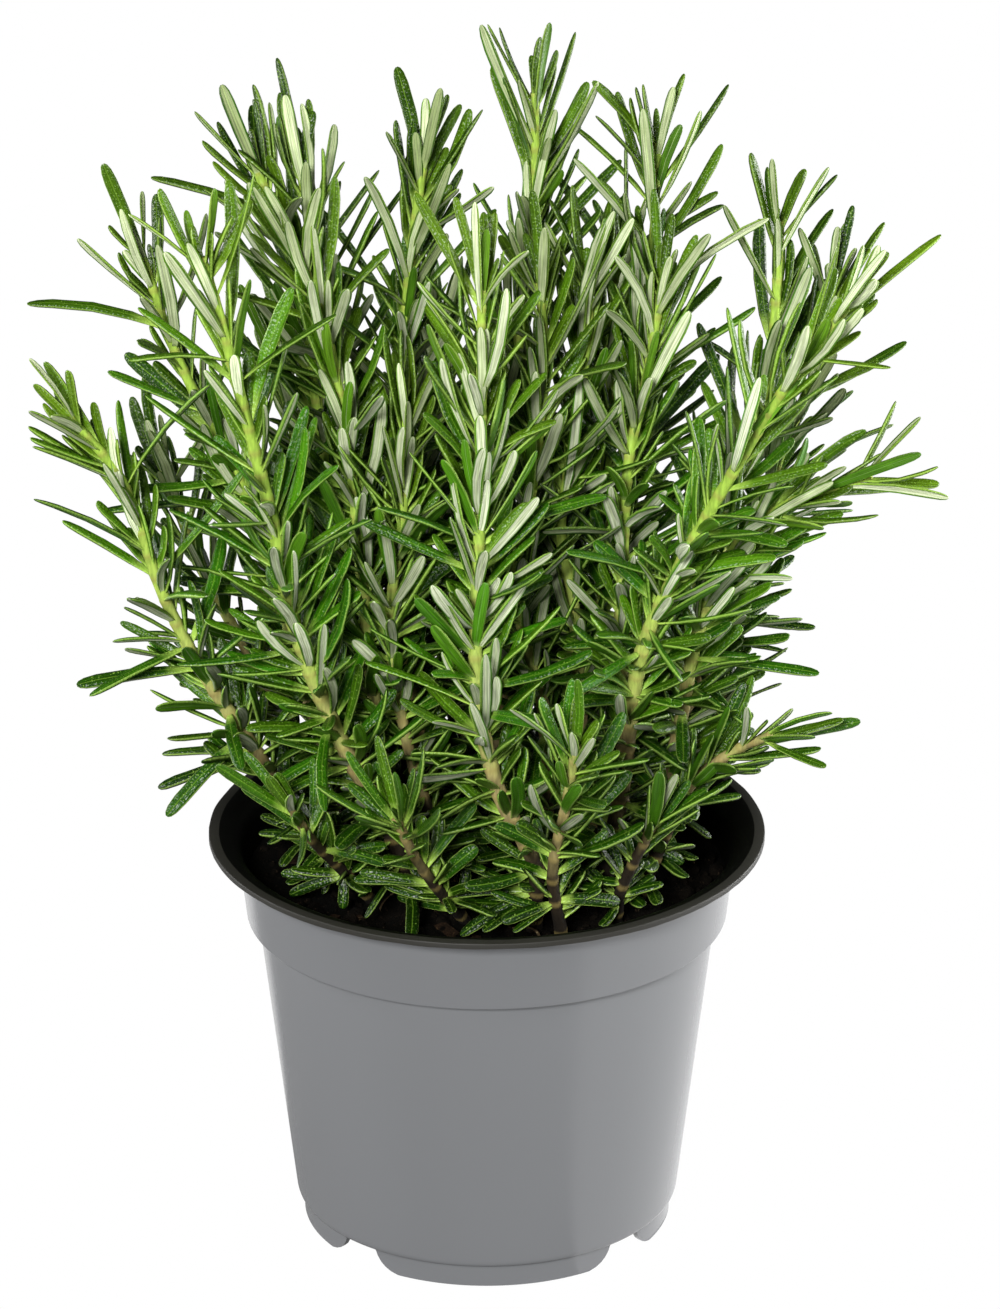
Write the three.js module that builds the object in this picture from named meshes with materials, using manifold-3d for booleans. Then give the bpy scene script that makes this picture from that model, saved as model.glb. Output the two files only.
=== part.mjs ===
// A rosemary plant in a round nursery pot, in millimetres with +Z up.
// The origin is on the pot's axis, at the level of the surface that the pot stands on. -Y is the front.
import * as THREE from "three";
import { mergeVertices } from "three/addons/utils/BufferGeometryUtils.js";
import Module from "manifold-3d";

const wasm = await Module();
wasm.setup();

// The pot: one moulding, with a flared lip, a collar, a tapered body and four feet.
const POT_HEIGHT = 98;
const RIM_RADIUS = 65;
const LIP_WIDTH = 2.4; // the flat ring on top of the rim
const LIP_THICKNESS = 1.3;
const COLLAR_TOP = { radius: 58, height: 91.5 }; // where the flare of the lip starts
const COLLAR_FOOT = { radius: 56.4, height: 78.4 };
const STEP_HEIGHT = 77.4; // the underside of the collar
const BODY_TOP_RADIUS = 53.7;
const BODY_FOOT_RADIUS = 45.3;
const FOOT_HEIGHT = 5.5;
const FOOT_RADIUS = 43.9;
const FOOT_FLOOR_RADIUS = 43.6;
const FOOT_WALL = 1.5;
const WALL = 1.2;
const FLOOR_THICKNESS = 1.5;
const POT_SEGMENTS = 36;
const FEET = 4;
const FOOT_TURN = 2.5; // degrees that the front foot is turned to the right of the front
const NOTCH_FLOOR_ANGLE = 28; // degrees of the ring that each gap between the feet takes at the floor
const NOTCH_TOP_ANGLE = 12;
const DRAINS = 6;
const DRAIN_RADIUS = 4;
const DRAIN_CIRCLE = 27;

// The soil: one block with a slightly raised, lumpy top.
const GAP = 0.3; // between touching pieces
const SOIL_RIM_HEIGHT = 86.6;
const SOIL_CROWN = 1.8; // how much higher the middle is
const SOIL_LUMP = 0.7;
const SOIL_SEGMENTS = 28;
const SOIL_RINGS = [14, 27, 39, 49];
const ROOTED_DEPTH = 12; // how far a stem goes down below its first route point

// The stems: square in section, thinner towards the tip.
const TIP_RADIUS = 1;
const STEM_STEP = 17; // mm between the rings of a stem
// Each stem's corner radius at the soil, and the points that it passes through from the soil to its tip.
const STEMS = {
  left_outer: [1.9, [-34, -6, 91], [-45, -9, 106], [-53, -12, 122], [-65, -14, 143], [-74, -16, 164],
    [-82, -18, 191], [-93, -21, 207]],
  left_upper: [1.7, [-30, 4, 91], [-41, 8, 125], [-52, 10, 168], [-62, 9, 192], [-71, 8, 213],
    [-78, 6, 237]],
  front_left_main: [2, [-17, -24, 91], [-22, -25, 108], [-33, -27, 131], [-43, -29, 159], [-48, -32, 188],
    [-54, -35, 216], [-58, -37, 235], [-62, -39, 251]],
  centre_left: [1.7, [-20, -8, 91], [-25, -8, 125], [-28, -8, 158], [-31, -7, 192], [-36, -6, 223],
    [-41, -5, 238]],
  back_left_high: [1.7, [-24, 16, 91], [-30, 17, 130], [-37, 19, 180], [-43, 20, 224], [-48, 22, 241],
    [-52, 24, 250]],
  back_left_inner: [1.7, [-15, 16, 91], [-23, 15, 135], [-30, 14, 180], [-37, 15, 218], [-40, 18, 238],
    [-42, 20, 251]],
  centre_back: [1.7, [-9, 4, 91], [-16, 8, 120], [-20, 12, 159], [-19, 16, 193], [-18, 18, 224],
    [-14, 20, 257]],
  top_centre: [1.9, [2, 18, 91], [4, 21, 140], [6, 24, 185], [8, 25, 219], [11, 28, 242], [11, 30, 267]],
  front_main: [2, [11, -35, 91], [11, -41, 107], [3, -40, 124], [-2, -38, 147], [-2, -34, 173],
    [-1, -31, 196], [-1, -28, 219], [-1, -26, 239]],
  centre_inner: [1.7, [13, -14, 91], [14, -12, 112], [13, -11, 133], [9, -9, 148], [7, -7, 167],
    [11, -5, 189], [13, -3, 217], [12, -1, 232]],
  centre_right: [1.6, [25, -4, 91], [22, -1, 125], [20, 0, 154], [17, 2, 172], [20, 3, 193], [23, 5, 217],
    [23, 6, 231]],
  back_right_inner: [1.7, [20, 16, 91], [25, 20, 135], [28, 24, 182], [29, 27, 211], [31, 30, 231]],
  right_high: [1.8, [31, 9, 91], [31, 11, 140], [33, 13, 180], [35, 16, 211], [38, 20, 233], [39, 24, 257]],
  right_inner: [1.7, [32, -8, 91], [31, -6, 135], [32, -2, 185], [36, 2, 206], [40, 5, 231]],
  right_upper: [1.8, [38, 2, 91], [46, 5, 130], [53, 8, 160], [58, 10, 183], [65, 14, 208], [67, 19, 240]],
  front_right_main: [2, [27, -19, 91], [31, -20, 116], [33, -22, 136], [36, -25, 155], [44, -29, 176],
    [55, -33, 199], [67, -37, 222], [80, -41, 242]],
  right_back: [1.8, [37, 14, 91], [50, 17, 130], [62, 20, 165], [70, 23, 188], [77, 26, 203], [80, 29, 222]],
  right_low_back: [1.7, [37, -7, 91], [44, -10, 125], [48, -12, 150], [55, -14, 171], [67, -18, 185],
    [86, -22, 194]],
  right_low: [1.6, [36, -20, 91], [42, -22, 108], [47, -25, 120], [57, -29, 130], [64, -33, 135]],
  front_sprig: [1.4, [17, -43, 91], [15, -48, 108], [18, -54, 128], [20, -60, 144]],
  front_right_sprig: [1.3, [30, -33, 91], [31, -36, 99], [38, -41, 117]],
  centre_sprig: [1.4, [-8, -15, 91], [-18, -15, 125], [-22, -15, 154], [-19, -14, 181], [-18, -13, 204]],
  back_left_spray: [1.8, [-22, 28, 91], [-34, 37, 130], [-43, 44, 168], [-50, 49, 200]],
  back_spray: [1.8, [-6, 30, 91], [-9, 41, 130], [-11, 48, 170], [-12, 53, 205]],
  back_right_spray: [1.8, [12, 29, 91], [19, 40, 128], [24, 47, 165], [28, 52, 196]],
  far_right_spray: [1.7, [28, 25, 91], [42, 35, 125], [55, 44, 157], [64, 49, 186]],
  left_back_spray: [1.7, [-34, 15, 91], [-50, 25, 120], [-66, 33, 147], [-76, 38, 172]],
  back_low_left: [1.4, [-14, 36, 91], [-20, 46, 106], [-28, 53, 118]],
  back_low_right: [1.4, [6, 38, 91], [8, 46, 106], [10, 52, 121]],
  front_left_low: [1.5, [-28, -22, 91], [-34, -29, 101], [-40, -38, 112], [-44, -46, 123]],
  front_low: [1.4, [-6, -34, 91], [-11, -42, 101], [-16, -49, 112], [-20, -55, 124]],
  right_back_low: [1.4, [42, 18, 91], [50, 28, 104], [57, 38, 116]],
};

// The leaves: linear blades in crossed pairs up each stem. A table gives a value along the stem,
// from 0 at the soil to 1 at the tip.
const FIRST_PAIR = 9; // mm above the soil
const PAIR_SPACING = [[0, 13.5], [0.5, 13], [1, 9.5]];
const LEAF_LENGTH = [[0, 17], [0.15, 22], [0.35, 27], [0.6, 31], [0.85, 31], [1, 27]];
const LEAF_ANGLE = [[0, 92], [0.25, 78], [0.55, 56], [0.85, 36], [1, 25]]; // degrees from the stem
const LEAF_WIDTH = [[0, 2.9], [0.5, 2.7], [1, 2.4]];
const FULL_GROWN = 110; // the length of stem from which its blades have their full size
const TOWARDS_LIGHT = new THREE.Vector3(0, -0.25, 0.45); // how a blade turns its face to the light
const TIP_LEAVES = 4;
const TIP_LEAF_WIDTH = 2.1;
// A blade's rings: where each is along the blade, the place whose direction it is square to, its share
// of the width, and its thickness. The first is the blade's pointed root, sunk past the stem's middle.
const BLADE_RINGS = [
  { at: 0, facing: 0.1, width: 0, thickness: 0 },
  { at: 0.22, facing: 0.1, width: 1, thickness: 1.3 },
  { at: 1, facing: 0.8, width: 0.6, thickness: 0.9 },
];
const ROOT_SINK = 0.5;

// What keeps the blades apart: the least distance between the middle lines of two blades.
const LEAF_CLEARANCE = 3.5;
const OWN_CLEARANCE = 2.3; // on one stem
const STEM_CLEARANCE = 1.9; // beside the other stem's corner radius
const CLEAR_FROM = 0.15; // the share of a blade at its root that isn't tested
const CLEAR_MIDDLE = 0.55;
const REACH = new THREE.Vector3(104, 90, 286);
const LOWEST_LEAF = 93;
const RIM_ZONE = { inner: 53, outer: 76, height: 113 };
// The changes that a blade in the way of another is tried with: turned round the stem and bent from it
// in degrees, and made shorter.
const CHANGES = [
  [0, 0, 1], [14, 0, 1], [-14, 0, 1], [28, -6, 0.95], [-28, -6, 0.95], [0, -14, 0.9],
  [0, 14, 0.85], [40, 0, 0.8], [-40, 0, 0.8], [0, 0, 0.65], [20, 10, 0.6], [-20, -10, 0.6],
];

const UP = new THREE.Vector3(0, 0, 1);
const radians = THREE.MathUtils.degToRad;
const point = (x, y, z) => new THREE.Vector3(x, y, z);

// A source of numbers from 0 to 1 that gives the same run each time for the same seed.
function randomFrom(seed) {
  let state = seed >>> 0;
  return () => {
    state = (state + 0x6d2b79f5) >>> 0;
    let t = Math.imul(state ^ (state >>> 15), 1 | state);
    t = (t + Math.imul(t ^ (t >>> 7), 61 | t)) ^ t;
    return ((t ^ (t >>> 14)) >>> 0) / 4294967296;
  };
}

// The value of a table of [share, value] rows at a share from 0 to 1.
function valueAt(rows, share) {
  const i = rows.findIndex(([s]) => share <= s);
  if (i < 1) return i < 0 ? rows.at(-1)[1] : rows[0][1];
  const [s0, v0] = rows[i - 1];
  const [s1, v1] = rows[i];
  return v0 + ((v1 - v0) * (share - s0)) / (s1 - s0);
}

function solidOf(geometry) {
  geometry.deleteAttribute("normal");
  geometry.deleteAttribute("uv");
  const merged = mergeVertices(geometry, 1e-4);
  return new wasm.Manifold(new wasm.Mesh({
    numProp: 3,
    vertProperties: merged.attributes.position.array,
    triVerts: new Uint32Array(merged.index.array),
  }));
}

function geometryOf(solid) {
  const mesh = solid.getMesh();
  return new THREE.BufferGeometry()
    .setAttribute("position", new THREE.BufferAttribute(mesh.vertProperties, 3))
    .setIndex(new THREE.BufferAttribute(mesh.triVerts, 1));
}

// A closed bar: the section is swept in equal steps, and place puts each of its points, by its
// place in the section and the number of its ring.
function bar(section, rings, place) {
  const shape = new THREE.Shape(section.map(([x, y]) => new THREE.Vector2(x, y)));
  const made = new THREE.ExtrudeGeometry(shape, { depth: 1, steps: rings - 1, bevelEnabled: false });
  const p = made.attributes.position;
  for (let i = 0; i < p.count; i++) {
    const ring = Math.round(p.getZ(i) * (rings - 1));
    p.setXYZ(i, ...place(p.getX(i), p.getY(i), ring).toArray());
  }
  return solidOf(made);
}

// Turned shapes: the profile's points are [radius, height].
function turned(profile, segments) {
  const outline = profile.map(([r, z]) => new THREE.Vector2(r, z));
  return new THREE.LatheGeometry(outline, segments).rotateX(Math.PI / 2);
}

// The points of a quarter bend from one [radius, height] to another, through a corner.
function bend(from, corner, to, steps) {
  const [a, b, c] = [from, corner, to].map(([r, z]) => new THREE.Vector2(r, z));
  return new THREE.QuadraticBezierCurve(a, b, c).getPoints(steps).map((p) => [p.x, p.y]);
}

const lipTop = [RIM_RADIUS - LIP_WIDTH, POT_HEIGHT];
const lipUnder = [RIM_RADIUS, POT_HEIGHT - LIP_THICKNESS];
const floorTop = FOOT_HEIGHT + FLOOR_THICKNESS;
// The inside of the wall, from the floor up to the start of the flare.
const innerWall = [
  [BODY_FOOT_RADIUS - WALL + 0.1, floorTop],
  [BODY_TOP_RADIUS - WALL, STEP_HEIGHT - WALL],
  [COLLAR_FOOT.radius - WALL, COLLAR_FOOT.height],
  [COLLAR_TOP.radius - WALL, COLLAR_TOP.height],
];

// The part of a pot's ring that lies between two feet, wider at the floor.
function notch(angle) {
  const half = (degrees) => FOOT_RADIUS * Math.sin(radians(degrees / 2));
  const shape = new THREE.Shape();
  shape.moveTo(-half(NOTCH_FLOOR_ANGLE), -1);
  shape.lineTo(half(NOTCH_FLOOR_ANGLE), -1);
  shape.lineTo(half(NOTCH_FLOOR_ANGLE), 0);
  shape.quadraticCurveTo(half(NOTCH_TOP_ANGLE) + 1, 1, half(NOTCH_TOP_ANGLE), FOOT_HEIGHT);
  shape.lineTo(-half(NOTCH_TOP_ANGLE), FOOT_HEIGHT);
  shape.quadraticCurveTo(-half(NOTCH_TOP_ANGLE) - 1, 1, -half(NOTCH_FLOOR_ANGLE), 0);
  const cutter = new THREE.ExtrudeGeometry(shape, { depth: 12, bevelEnabled: false, curveSegments: 3 });
  cutter.rotateX(Math.PI / 2).translate(0, -FOOT_RADIUS + 8, 0).rotateZ(radians(angle));
  return solidOf(cutter);
}

function drain(angle) {
  const cutter = new THREE.CylinderGeometry(DRAIN_RADIUS, DRAIN_RADIUS, 4 * FLOOR_THICKNESS, 10);
  cutter.rotateX(Math.PI / 2).translate(DRAIN_CIRCLE, 0, FOOT_HEIGHT).rotateZ(radians(angle));
  return solidOf(cutter);
}

function pot() {
  const collarTop = [COLLAR_TOP.radius, COLLAR_TOP.height];
  const profile = [
    [0, FOOT_HEIGHT],
    [FOOT_RADIUS - FOOT_WALL, FOOT_HEIGHT],
    [FOOT_FLOOR_RADIUS - FOOT_WALL, 0],
    [FOOT_FLOOR_RADIUS, 0],
    [FOOT_RADIUS, FOOT_HEIGHT],
    [BODY_FOOT_RADIUS, FOOT_HEIGHT + 0.6],
    [BODY_TOP_RADIUS, STEP_HEIGHT],
    [COLLAR_FOOT.radius - 0.5, STEP_HEIGHT],
    [COLLAR_FOOT.radius, COLLAR_FOOT.height],
    ...bend(collarTop, [COLLAR_TOP.radius + 0.6, lipUnder[1] - 0.4], lipUnder, 3),
    [RIM_RADIUS, POT_HEIGHT],
    ...bend(lipTop, [COLLAR_TOP.radius - WALL + 0.6, POT_HEIGHT - 0.6], innerWall[3], 3),
    ...innerWall.slice(0, 3).reverse(),
    [0, floorTop],
  ];
  let made = solidOf(turned(profile, POT_SEGMENTS));
  for (let i = 0; i < FEET; i++) {
    made = made.subtract(notch(FOOT_TURN + (360 / FEET) * (i + 0.5)));
  }
  for (let i = 0; i < DRAINS; i++) made = made.subtract(drain((360 / DRAINS) * i));
  return made;
}

const corner = Math.SQRT1_2;
const SQUARE = [[-corner, -corner], [corner, -corner], [corner, corner], [-corner, corner]];
const BLADE = [[-0.5, -0.4], [0.5, -0.4], [0, 0.6]];

// A stem's line, its length above the soil, the size of its blades and its thickness.
function stemOf([name, [radius, ...route]], index) {
  const points = route.map((p) => point(...p));
  const line = new THREE.CatmullRomCurve3(points, false, "catmullrom", 0.5);
  const radiusAt = (share) => radius + (TIP_RADIUS - radius) * share;
  const turn = 2 * Math.PI * randomFrom(7000 + index)();
  const length = line.getLength();
  const vigour = Math.min(0.6 + (0.4 * length) / FULL_GROWN, 1);
  return { name, index, line, length, vigour, radiusAt, root: points[0], turn };
}

// The directions that two neighbouring sides of a stem face, where the stem runs along tangent.
function sidesOf(stem, tangent) {
  const x = point(1, 0, 0).addScaledVector(tangent, -tangent.x).normalize();
  x.applyAxisAngle(tangent, stem.turn);
  return [x, new THREE.Vector3().crossVectors(tangent, x)];
}

// The bare stem, from its square end in the soil to its tip. Its rings are level.
function stemSolid(stem) {
  const { line, length, radiusAt, root } = stem;
  const [side, back] = sidesOf(stem, UP);
  const steps = Math.ceil(length / STEM_STEP);
  const place = (x, y, ring) => {
    const share = Math.max(0, (ring - 1) / steps);
    const middle = ring ? line.getPointAt(share) : point(root.x, root.y, root.z - ROOTED_DEPTH);
    const r = radiusAt(share);
    return middle.addScaledVector(side, x * r).addScaledVector(back, y * r);
  };
  return bar(SQUARE, steps + 2, place);
}

// The plain hole in the soil that a stem stands in.
function stemHole(stem) {
  const r = stem.radiusAt(0) + GAP / corner;
  const [side, back] = sidesOf(stem, UP);
  const { x: left, y: front, z: top } = stem.root;
  const place = (x, y, ring) => point(left, front, ring ? top + 5 : top - ROOTED_DEPTH - GAP)
    .addScaledVector(side, x * r)
    .addScaledVector(back, y * r);
  return bar(SQUARE, 2, place);
}

function soil(stems) {
  const inset = innerWall.map(([r, z]) => [r - GAP, z]);
  const rim = inset[3];
  inset[0][1] += GAP;
  rim[1] = SOIL_RIM_HEIGHT;
  rim[0] -= 0.6;
  const random = randomFrom(5);
  const crown = (r) => SOIL_RIM_HEIGHT + SOIL_CROWN * (1 - (r / rim[0]) ** 2);
  const top = SOIL_RINGS.map((r) => [r, crown(r)]).reverse();
  const profile = [[0, inset[0][1]], ...inset, ...top, [0, crown(0)]];
  const made = turned(profile, SOIL_SEGMENTS);
  // The rings between the middle and the wall are raised and sunk a little, point by point.
  const rings = profile.length;
  const p = made.attributes.position;
  for (let s = 0; s < SOIL_SEGMENTS; s++) {
    for (let k = 0; k < top.length; k++) {
      const lump = SOIL_LUMP * (2 * random() - 1);
      const row = 1 + inset.length + k;
      const columns = s ? [s] : [0, SOIL_SEGMENTS];
      for (const column of columns) {
        const i = column * rings + row;
        p.setZ(i, p.getZ(i) + lump);
      }
    }
  }
  return stems.reduce((block, stem) => block.subtract(stemHole(stem)), solidOf(made));
}

// A blade grows from root on a stem whose direction is tangent. Turn is its place round the stem,
// angle how far it bends from it, curl how much it arches up, droop how much it sinks and roll how
// far it is turned on its own line.
function leafOf(stem, share, { turn, angle, length, curl, droop, roll, width }) {
  const tangent = stem.line.getTangentAt(share);
  const [x, y] = sidesOf(stem, tangent);
  const out = x.multiplyScalar(Math.cos(turn)).addScaledVector(y, Math.sin(turn));
  const along = tangent.clone().multiplyScalar(Math.cos(angle)).addScaledVector(out, Math.sin(angle));
  const face = tangent.clone().addScaledVector(along, -tangent.dot(along)).normalize();
  const arch = face.clone().multiplyScalar(curl).addScaledVector(UP, -droop);
  face.add(TOWARDS_LIGHT);
  face.addScaledVector(along, -face.dot(along)).normalize();
  const side = new THREE.Vector3().crossVectors(face, along);
  face.multiplyScalar(Math.cos(roll)).addScaledVector(side, Math.sin(roll));
  return { root: stem.line.getPointAt(share), along, arch, face, length, width };
}

function leafPoint({ root, along, arch, length }, t) {
  return root.clone().addScaledVector(along, length * t).addScaledVector(arch, length * t * t);
}

function leafSolid(leaf) {
  return bar(BLADE, BLADE_RINGS.length, (x, y, ring) => {
    const { at, facing, width, thickness } = BLADE_RINGS[ring];
    const tangent = leaf.along.clone().addScaledVector(leaf.arch, 2 * facing).normalize();
    const side = new THREE.Vector3().crossVectors(leaf.face, tangent).normalize();
    const face = new THREE.Vector3().crossVectors(tangent, side);
    return leafPoint(leaf, at)
      .addScaledVector(leaf.along, ring ? 0 : -ROOT_SINK)
      .addScaledVector(side, x * leaf.width * width)
      .addScaledVector(face, y * thickness);
  });
}

// The least distance between two straight stretches.
function distance([p1, q1], [p2, q2]) {
  const d1 = q1.clone().sub(p1);
  const d2 = q2.clone().sub(p2);
  const r = p1.clone().sub(p2);
  const [a, b, c, e, f] = [d1.dot(d1), d1.dot(d2), d1.dot(r), d2.dot(d2), d2.dot(r)];
  const unit = (v) => Math.min(Math.max(v, 0), 1);
  const square = a * e - b * b;
  let s = square > 1e-9 ? unit((b * f - c * e) / square) : 0;
  let t = (b * s + f) / e;
  if (t < 0) {
    t = 0;
    s = unit(-c / a);
  } else if (t > 1) {
    t = 1;
    s = unit((b - c) / a);
  }
  return p1.clone().addScaledVector(d1, s).distanceTo(p2.clone().addScaledVector(d2, t));
}

// Whether a blade stays inside the plant's reach, over the soil and away from the pot's rim.
function staysInPlace(leaf) {
  return [0.3, 0.5, 0.75, 1].every((t) => {
    const p = leafPoint(leaf, t);
    const radius = Math.hypot(p.x, p.y);
    const atRim = p.z < RIM_ZONE.height && radius > RIM_ZONE.inner && radius < RIM_ZONE.outer;
    const inReach = Math.abs(p.x) <= REACH.x && Math.abs(p.y) <= REACH.y && p.z <= REACH.z;
    return p.z >= LOWEST_LEAF && !atRim && inReach;
  });
}

// What is already in place: straight stretches of stems, with a radius, and of blades.
const stretches = [];

function stretchesOf(leaf) {
  const [a, b, c] = [CLEAR_FROM, CLEAR_MIDDLE, 1].map((t) => leafPoint(leaf, t));
  return [[a, b], [b, c]];
}

function isClear(leaf, owner) {
  return stretchesOf(leaf).every((line) => stretches.every((other) => {
    if (line[0].distanceTo(other.line[0]) > 60) return true;
    if (other.owner === owner) return other.radius > 0 || distance(line, other.line) >= OWN_CLEARANCE;
    const need = other.radius > 0 ? other.radius + STEM_CLEARANCE : LEAF_CLEARANCE;
    return distance(line, other.line) >= need;
  }));
}

// The blade with the first change that keeps it clear of all that is in place, or nothing.
function fitted(stem, share, wish, changes) {
  for (const [turn, angle, size] of changes) {
    const leaf = leafOf(stem, share, {
      ...wish,
      turn: radians(wish.turn + turn),
      angle: radians(Math.max(wish.angle + angle, 6)),
      length: wish.length * size,
    });
    if (staysInPlace(leaf) && isClear(leaf, stem.index)) return leaf;
  }
  return undefined;
}

// The places of the crossed pairs up a stem.
function pairsOf(stem) {
  const pairs = [];
  for (let at = FIRST_PAIR; at < stem.length - 3; at += valueAt(PAIR_SPACING, pairs.at(-1).share)) {
    pairs.push({ share: at / stem.length, turn: 90 * pairs.length });
  }
  return pairs;
}

function pairLeaf(stem, pair, { share, turn }, side) {
  const random = randomFrom(1000 * stem.index + 10 * pair + side);
  const wish = {
    turn: turn + 180 * side + 24 * (random() - 0.5),
    angle: valueAt(LEAF_ANGLE, share) + 40 * (random() - 0.5),
    length: valueAt(LEAF_LENGTH, share) * stem.vigour * (0.72 + 0.42 * random()),
    curl: 0.44 * (random() - 0.4),
    droop: 0.16 * (1 - share) * random(),
    roll: radians(64 * (random() - 0.5)),
    width: valueAt(LEAF_WIDTH, share) * (0.9 + 0.2 * random()),
  };
  return fitted(stem, share, wish, CHANGES);
}

function tipLeaf(stem, number, random) {
  const share = 1 - (2 + 0.8 * (number % 2)) / stem.length;
  const wish = {
    turn: (360 / TIP_LEAVES) * number + 20 * (random() - 0.5),
    angle: 8 + 18 * random(),
    length: 12 + 12 * random(),
    curl: 0.06,
    droop: 0,
    roll: 0,
    width: TIP_LEAF_WIDTH,
  };
  return fitted(stem, share, wish, CHANGES.slice(0, 9));
}

// All the blades, by stem. They are placed pair by pair, the lowest of each stem first, and the
// upright ones at the tips last.
function growLeaves(stems) {
  const leaves = stems.map(() => []);
  const keep = (stem, leaf) => {
    if (!leaf) return;
    leaves[stem.index].push(leaf);
    for (const line of stretchesOf(leaf)) stretches.push({ owner: stem.index, line, radius: 0 });
  };
  for (const { index, line, length, radiusAt } of stems) {
    const count = Math.ceil(length / 8);
    for (let i = 0; i < count; i++) {
      const ends = [line.getPointAt(i / count), line.getPointAt((i + 1) / count)];
      stretches.push({ owner: index, line: ends, radius: radiusAt(i / count) });
    }
  }
  const pairs = stems.map(pairsOf);
  for (let k = 0; k < Math.max(...pairs.map((list) => list.length)); k++) {
    for (const stem of stems.filter(({ index }) => k < pairs[index].length)) {
      for (const side of [0, 1]) keep(stem, pairLeaf(stem, k, pairs[stem.index][k], side));
    }
  }
  for (const stem of stems) {
    const random = randomFrom(9000 + stem.index);
    for (let number = 0; number < TIP_LEAVES; number++) keep(stem, tipLeaf(stem, number, random));
  }
  return leaves;
}

const GREY_PLASTIC = new THREE.MeshStandardMaterial({ color: "#85888a", roughness: 0.38, metalness: 0 });
const DARK_SOIL = new THREE.MeshStandardMaterial({ color: "#1d1712", roughness: 0.95, metalness: 0 });
const LEAF_GREEN = new THREE.MeshStandardMaterial({ color: "#3f7a24", roughness: 0.5, metalness: 0 });

const plant = new THREE.Group();

function addPiece(name, solid, material) {
  const mesh = new THREE.Mesh(geometryOf(solid), material);
  mesh.name = name;
  plant.add(mesh);
}

const stems = Object.entries(STEMS).map(stemOf);
const leaves = growLeaves(stems);
addPiece("pot", pot(), GREY_PLASTIC);
addPiece("soil", soil(stems), DARK_SOIL);
for (const stem of stems) {
  const blades = leaves[stem.index].map(leafSolid);
  const leafy = blades.reduce((made, blade) => made.add(blade), stemSolid(stem));
  addPiece(`stem_${stem.name}`, leafy, LEAF_GREEN);
}

export default plant;
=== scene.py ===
import math

import bpy
import numpy as np
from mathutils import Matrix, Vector
from mathutils.bvhtree import BVHTree


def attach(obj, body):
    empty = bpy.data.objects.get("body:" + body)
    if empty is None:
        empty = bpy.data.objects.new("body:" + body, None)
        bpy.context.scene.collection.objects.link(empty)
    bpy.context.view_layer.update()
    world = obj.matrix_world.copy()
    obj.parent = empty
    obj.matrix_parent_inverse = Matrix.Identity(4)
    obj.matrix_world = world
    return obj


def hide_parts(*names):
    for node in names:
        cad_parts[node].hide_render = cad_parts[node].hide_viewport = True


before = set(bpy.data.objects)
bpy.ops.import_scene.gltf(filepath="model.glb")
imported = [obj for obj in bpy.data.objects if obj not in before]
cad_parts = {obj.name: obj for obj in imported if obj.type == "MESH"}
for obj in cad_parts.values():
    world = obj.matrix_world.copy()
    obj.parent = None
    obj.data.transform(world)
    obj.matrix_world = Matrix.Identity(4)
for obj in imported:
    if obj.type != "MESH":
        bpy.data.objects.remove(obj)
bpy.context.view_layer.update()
bpy.ops.object.select_all(action="DESELECT")
MM = 0.001

# ---------------------------------------------------------------------------------------- the camera
# It stands 1.5 m in front of the pot and looks down at it by 22 degrees, with a long lens. Its place
# comes from the ellipses of the rim, the collar and the foot.
CAMERA_PLACE = (3.1 * MM, -1351.6 * MM, 700.5 * MM)
CAMERA_PITCH = 22.47
PICTURE_HEIGHT = 1309
FOCAL_LENGTH = 6324  # in pixels of that height
FILM_HEIGHT = 36

bpy.ops.object.camera_add(location=CAMERA_PLACE, rotation=(math.radians(90 - CAMERA_PITCH), 0, 0))
camera = bpy.context.object
camera.data.sensor_fit = "VERTICAL"
camera.data.sensor_height = FILM_HEIGHT
camera.data.lens = FILM_HEIGHT * FOCAL_LENGTH / PICTURE_HEIGHT
bpy.context.scene.camera = camera

# ------------------------------------------------------------------------------------------- the pot
# A nursery pot, formed from one thin polypropylene sheet that is grey outside and black inside. Its
# cut edge at the lip shows the black layer, painted a little lighter on its top as painted light. The
# collar stiffens it, and the ring under its floor is cut away in four places, so that it stands on four
# feet and drains.
POT_HEIGHT = 98
RIM_RADIUS = 65
LIP_WIDTH = 2.4
LIP_THICKNESS = 1.3
COLLAR_TOP = (58, 91.5)  # radius and height
COLLAR_FOOT = (56.4, 78.4)
STEP_HEIGHT = 77.4
BODY_TOP_RADIUS = 53.7
BODY_FOOT_RADIUS = 45.3
FOOT_HEIGHT = 5.5
FOOT_RADIUS = 43.9
FOOT_FLOOR_RADIUS = 43.6
FOOT_WALL = 1.5
WALL = 1.2
FLOOR_TOP = 7
POT_SEGMENTS = 160
FEET = 4
FOOT_TURN = 2.5
NOTCH_FLOOR_ANGLE = 28
NOTCH_TOP_ANGLE = 12
NOTCH_STEPS = 5
DRAINS = 6
DRAIN_RADIUS = 4
DRAIN_CIRCLE = 27
DRAIN_SIDES = 28
NOTCH_CUT = 16  # across the foot ring, which it cuts right through
DRAIN_CUT = 8
LIP_RAGGED = 0.35  # how far the cut edge of the lip wanders
LIP_WAVE = 7
LIP_INNER_RADIUS = 61
PEEL_SIZE = 1.1
PEEL_DEPTH = 0.1
SHARPEST_SMOOTH = math.radians(38)  # the turn past which an edge shows as an edge


def linear(colour):
    """A hex sRGB colour as the linear one that a shader takes."""
    parts = [int(colour[i : i + 2], 16) / 255 for i in (1, 3, 5)]
    return (*[p / 12.92 if p <= 0.04045 else ((p + 0.055) / 1.055) ** 2.4 for p in parts], 1)


def new_material(name):
    """An empty material, its output and its main shader."""
    material = bpy.data.materials.new(name)
    material.use_nodes = True
    return material, material.node_tree.nodes["Principled BSDF"]


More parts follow.
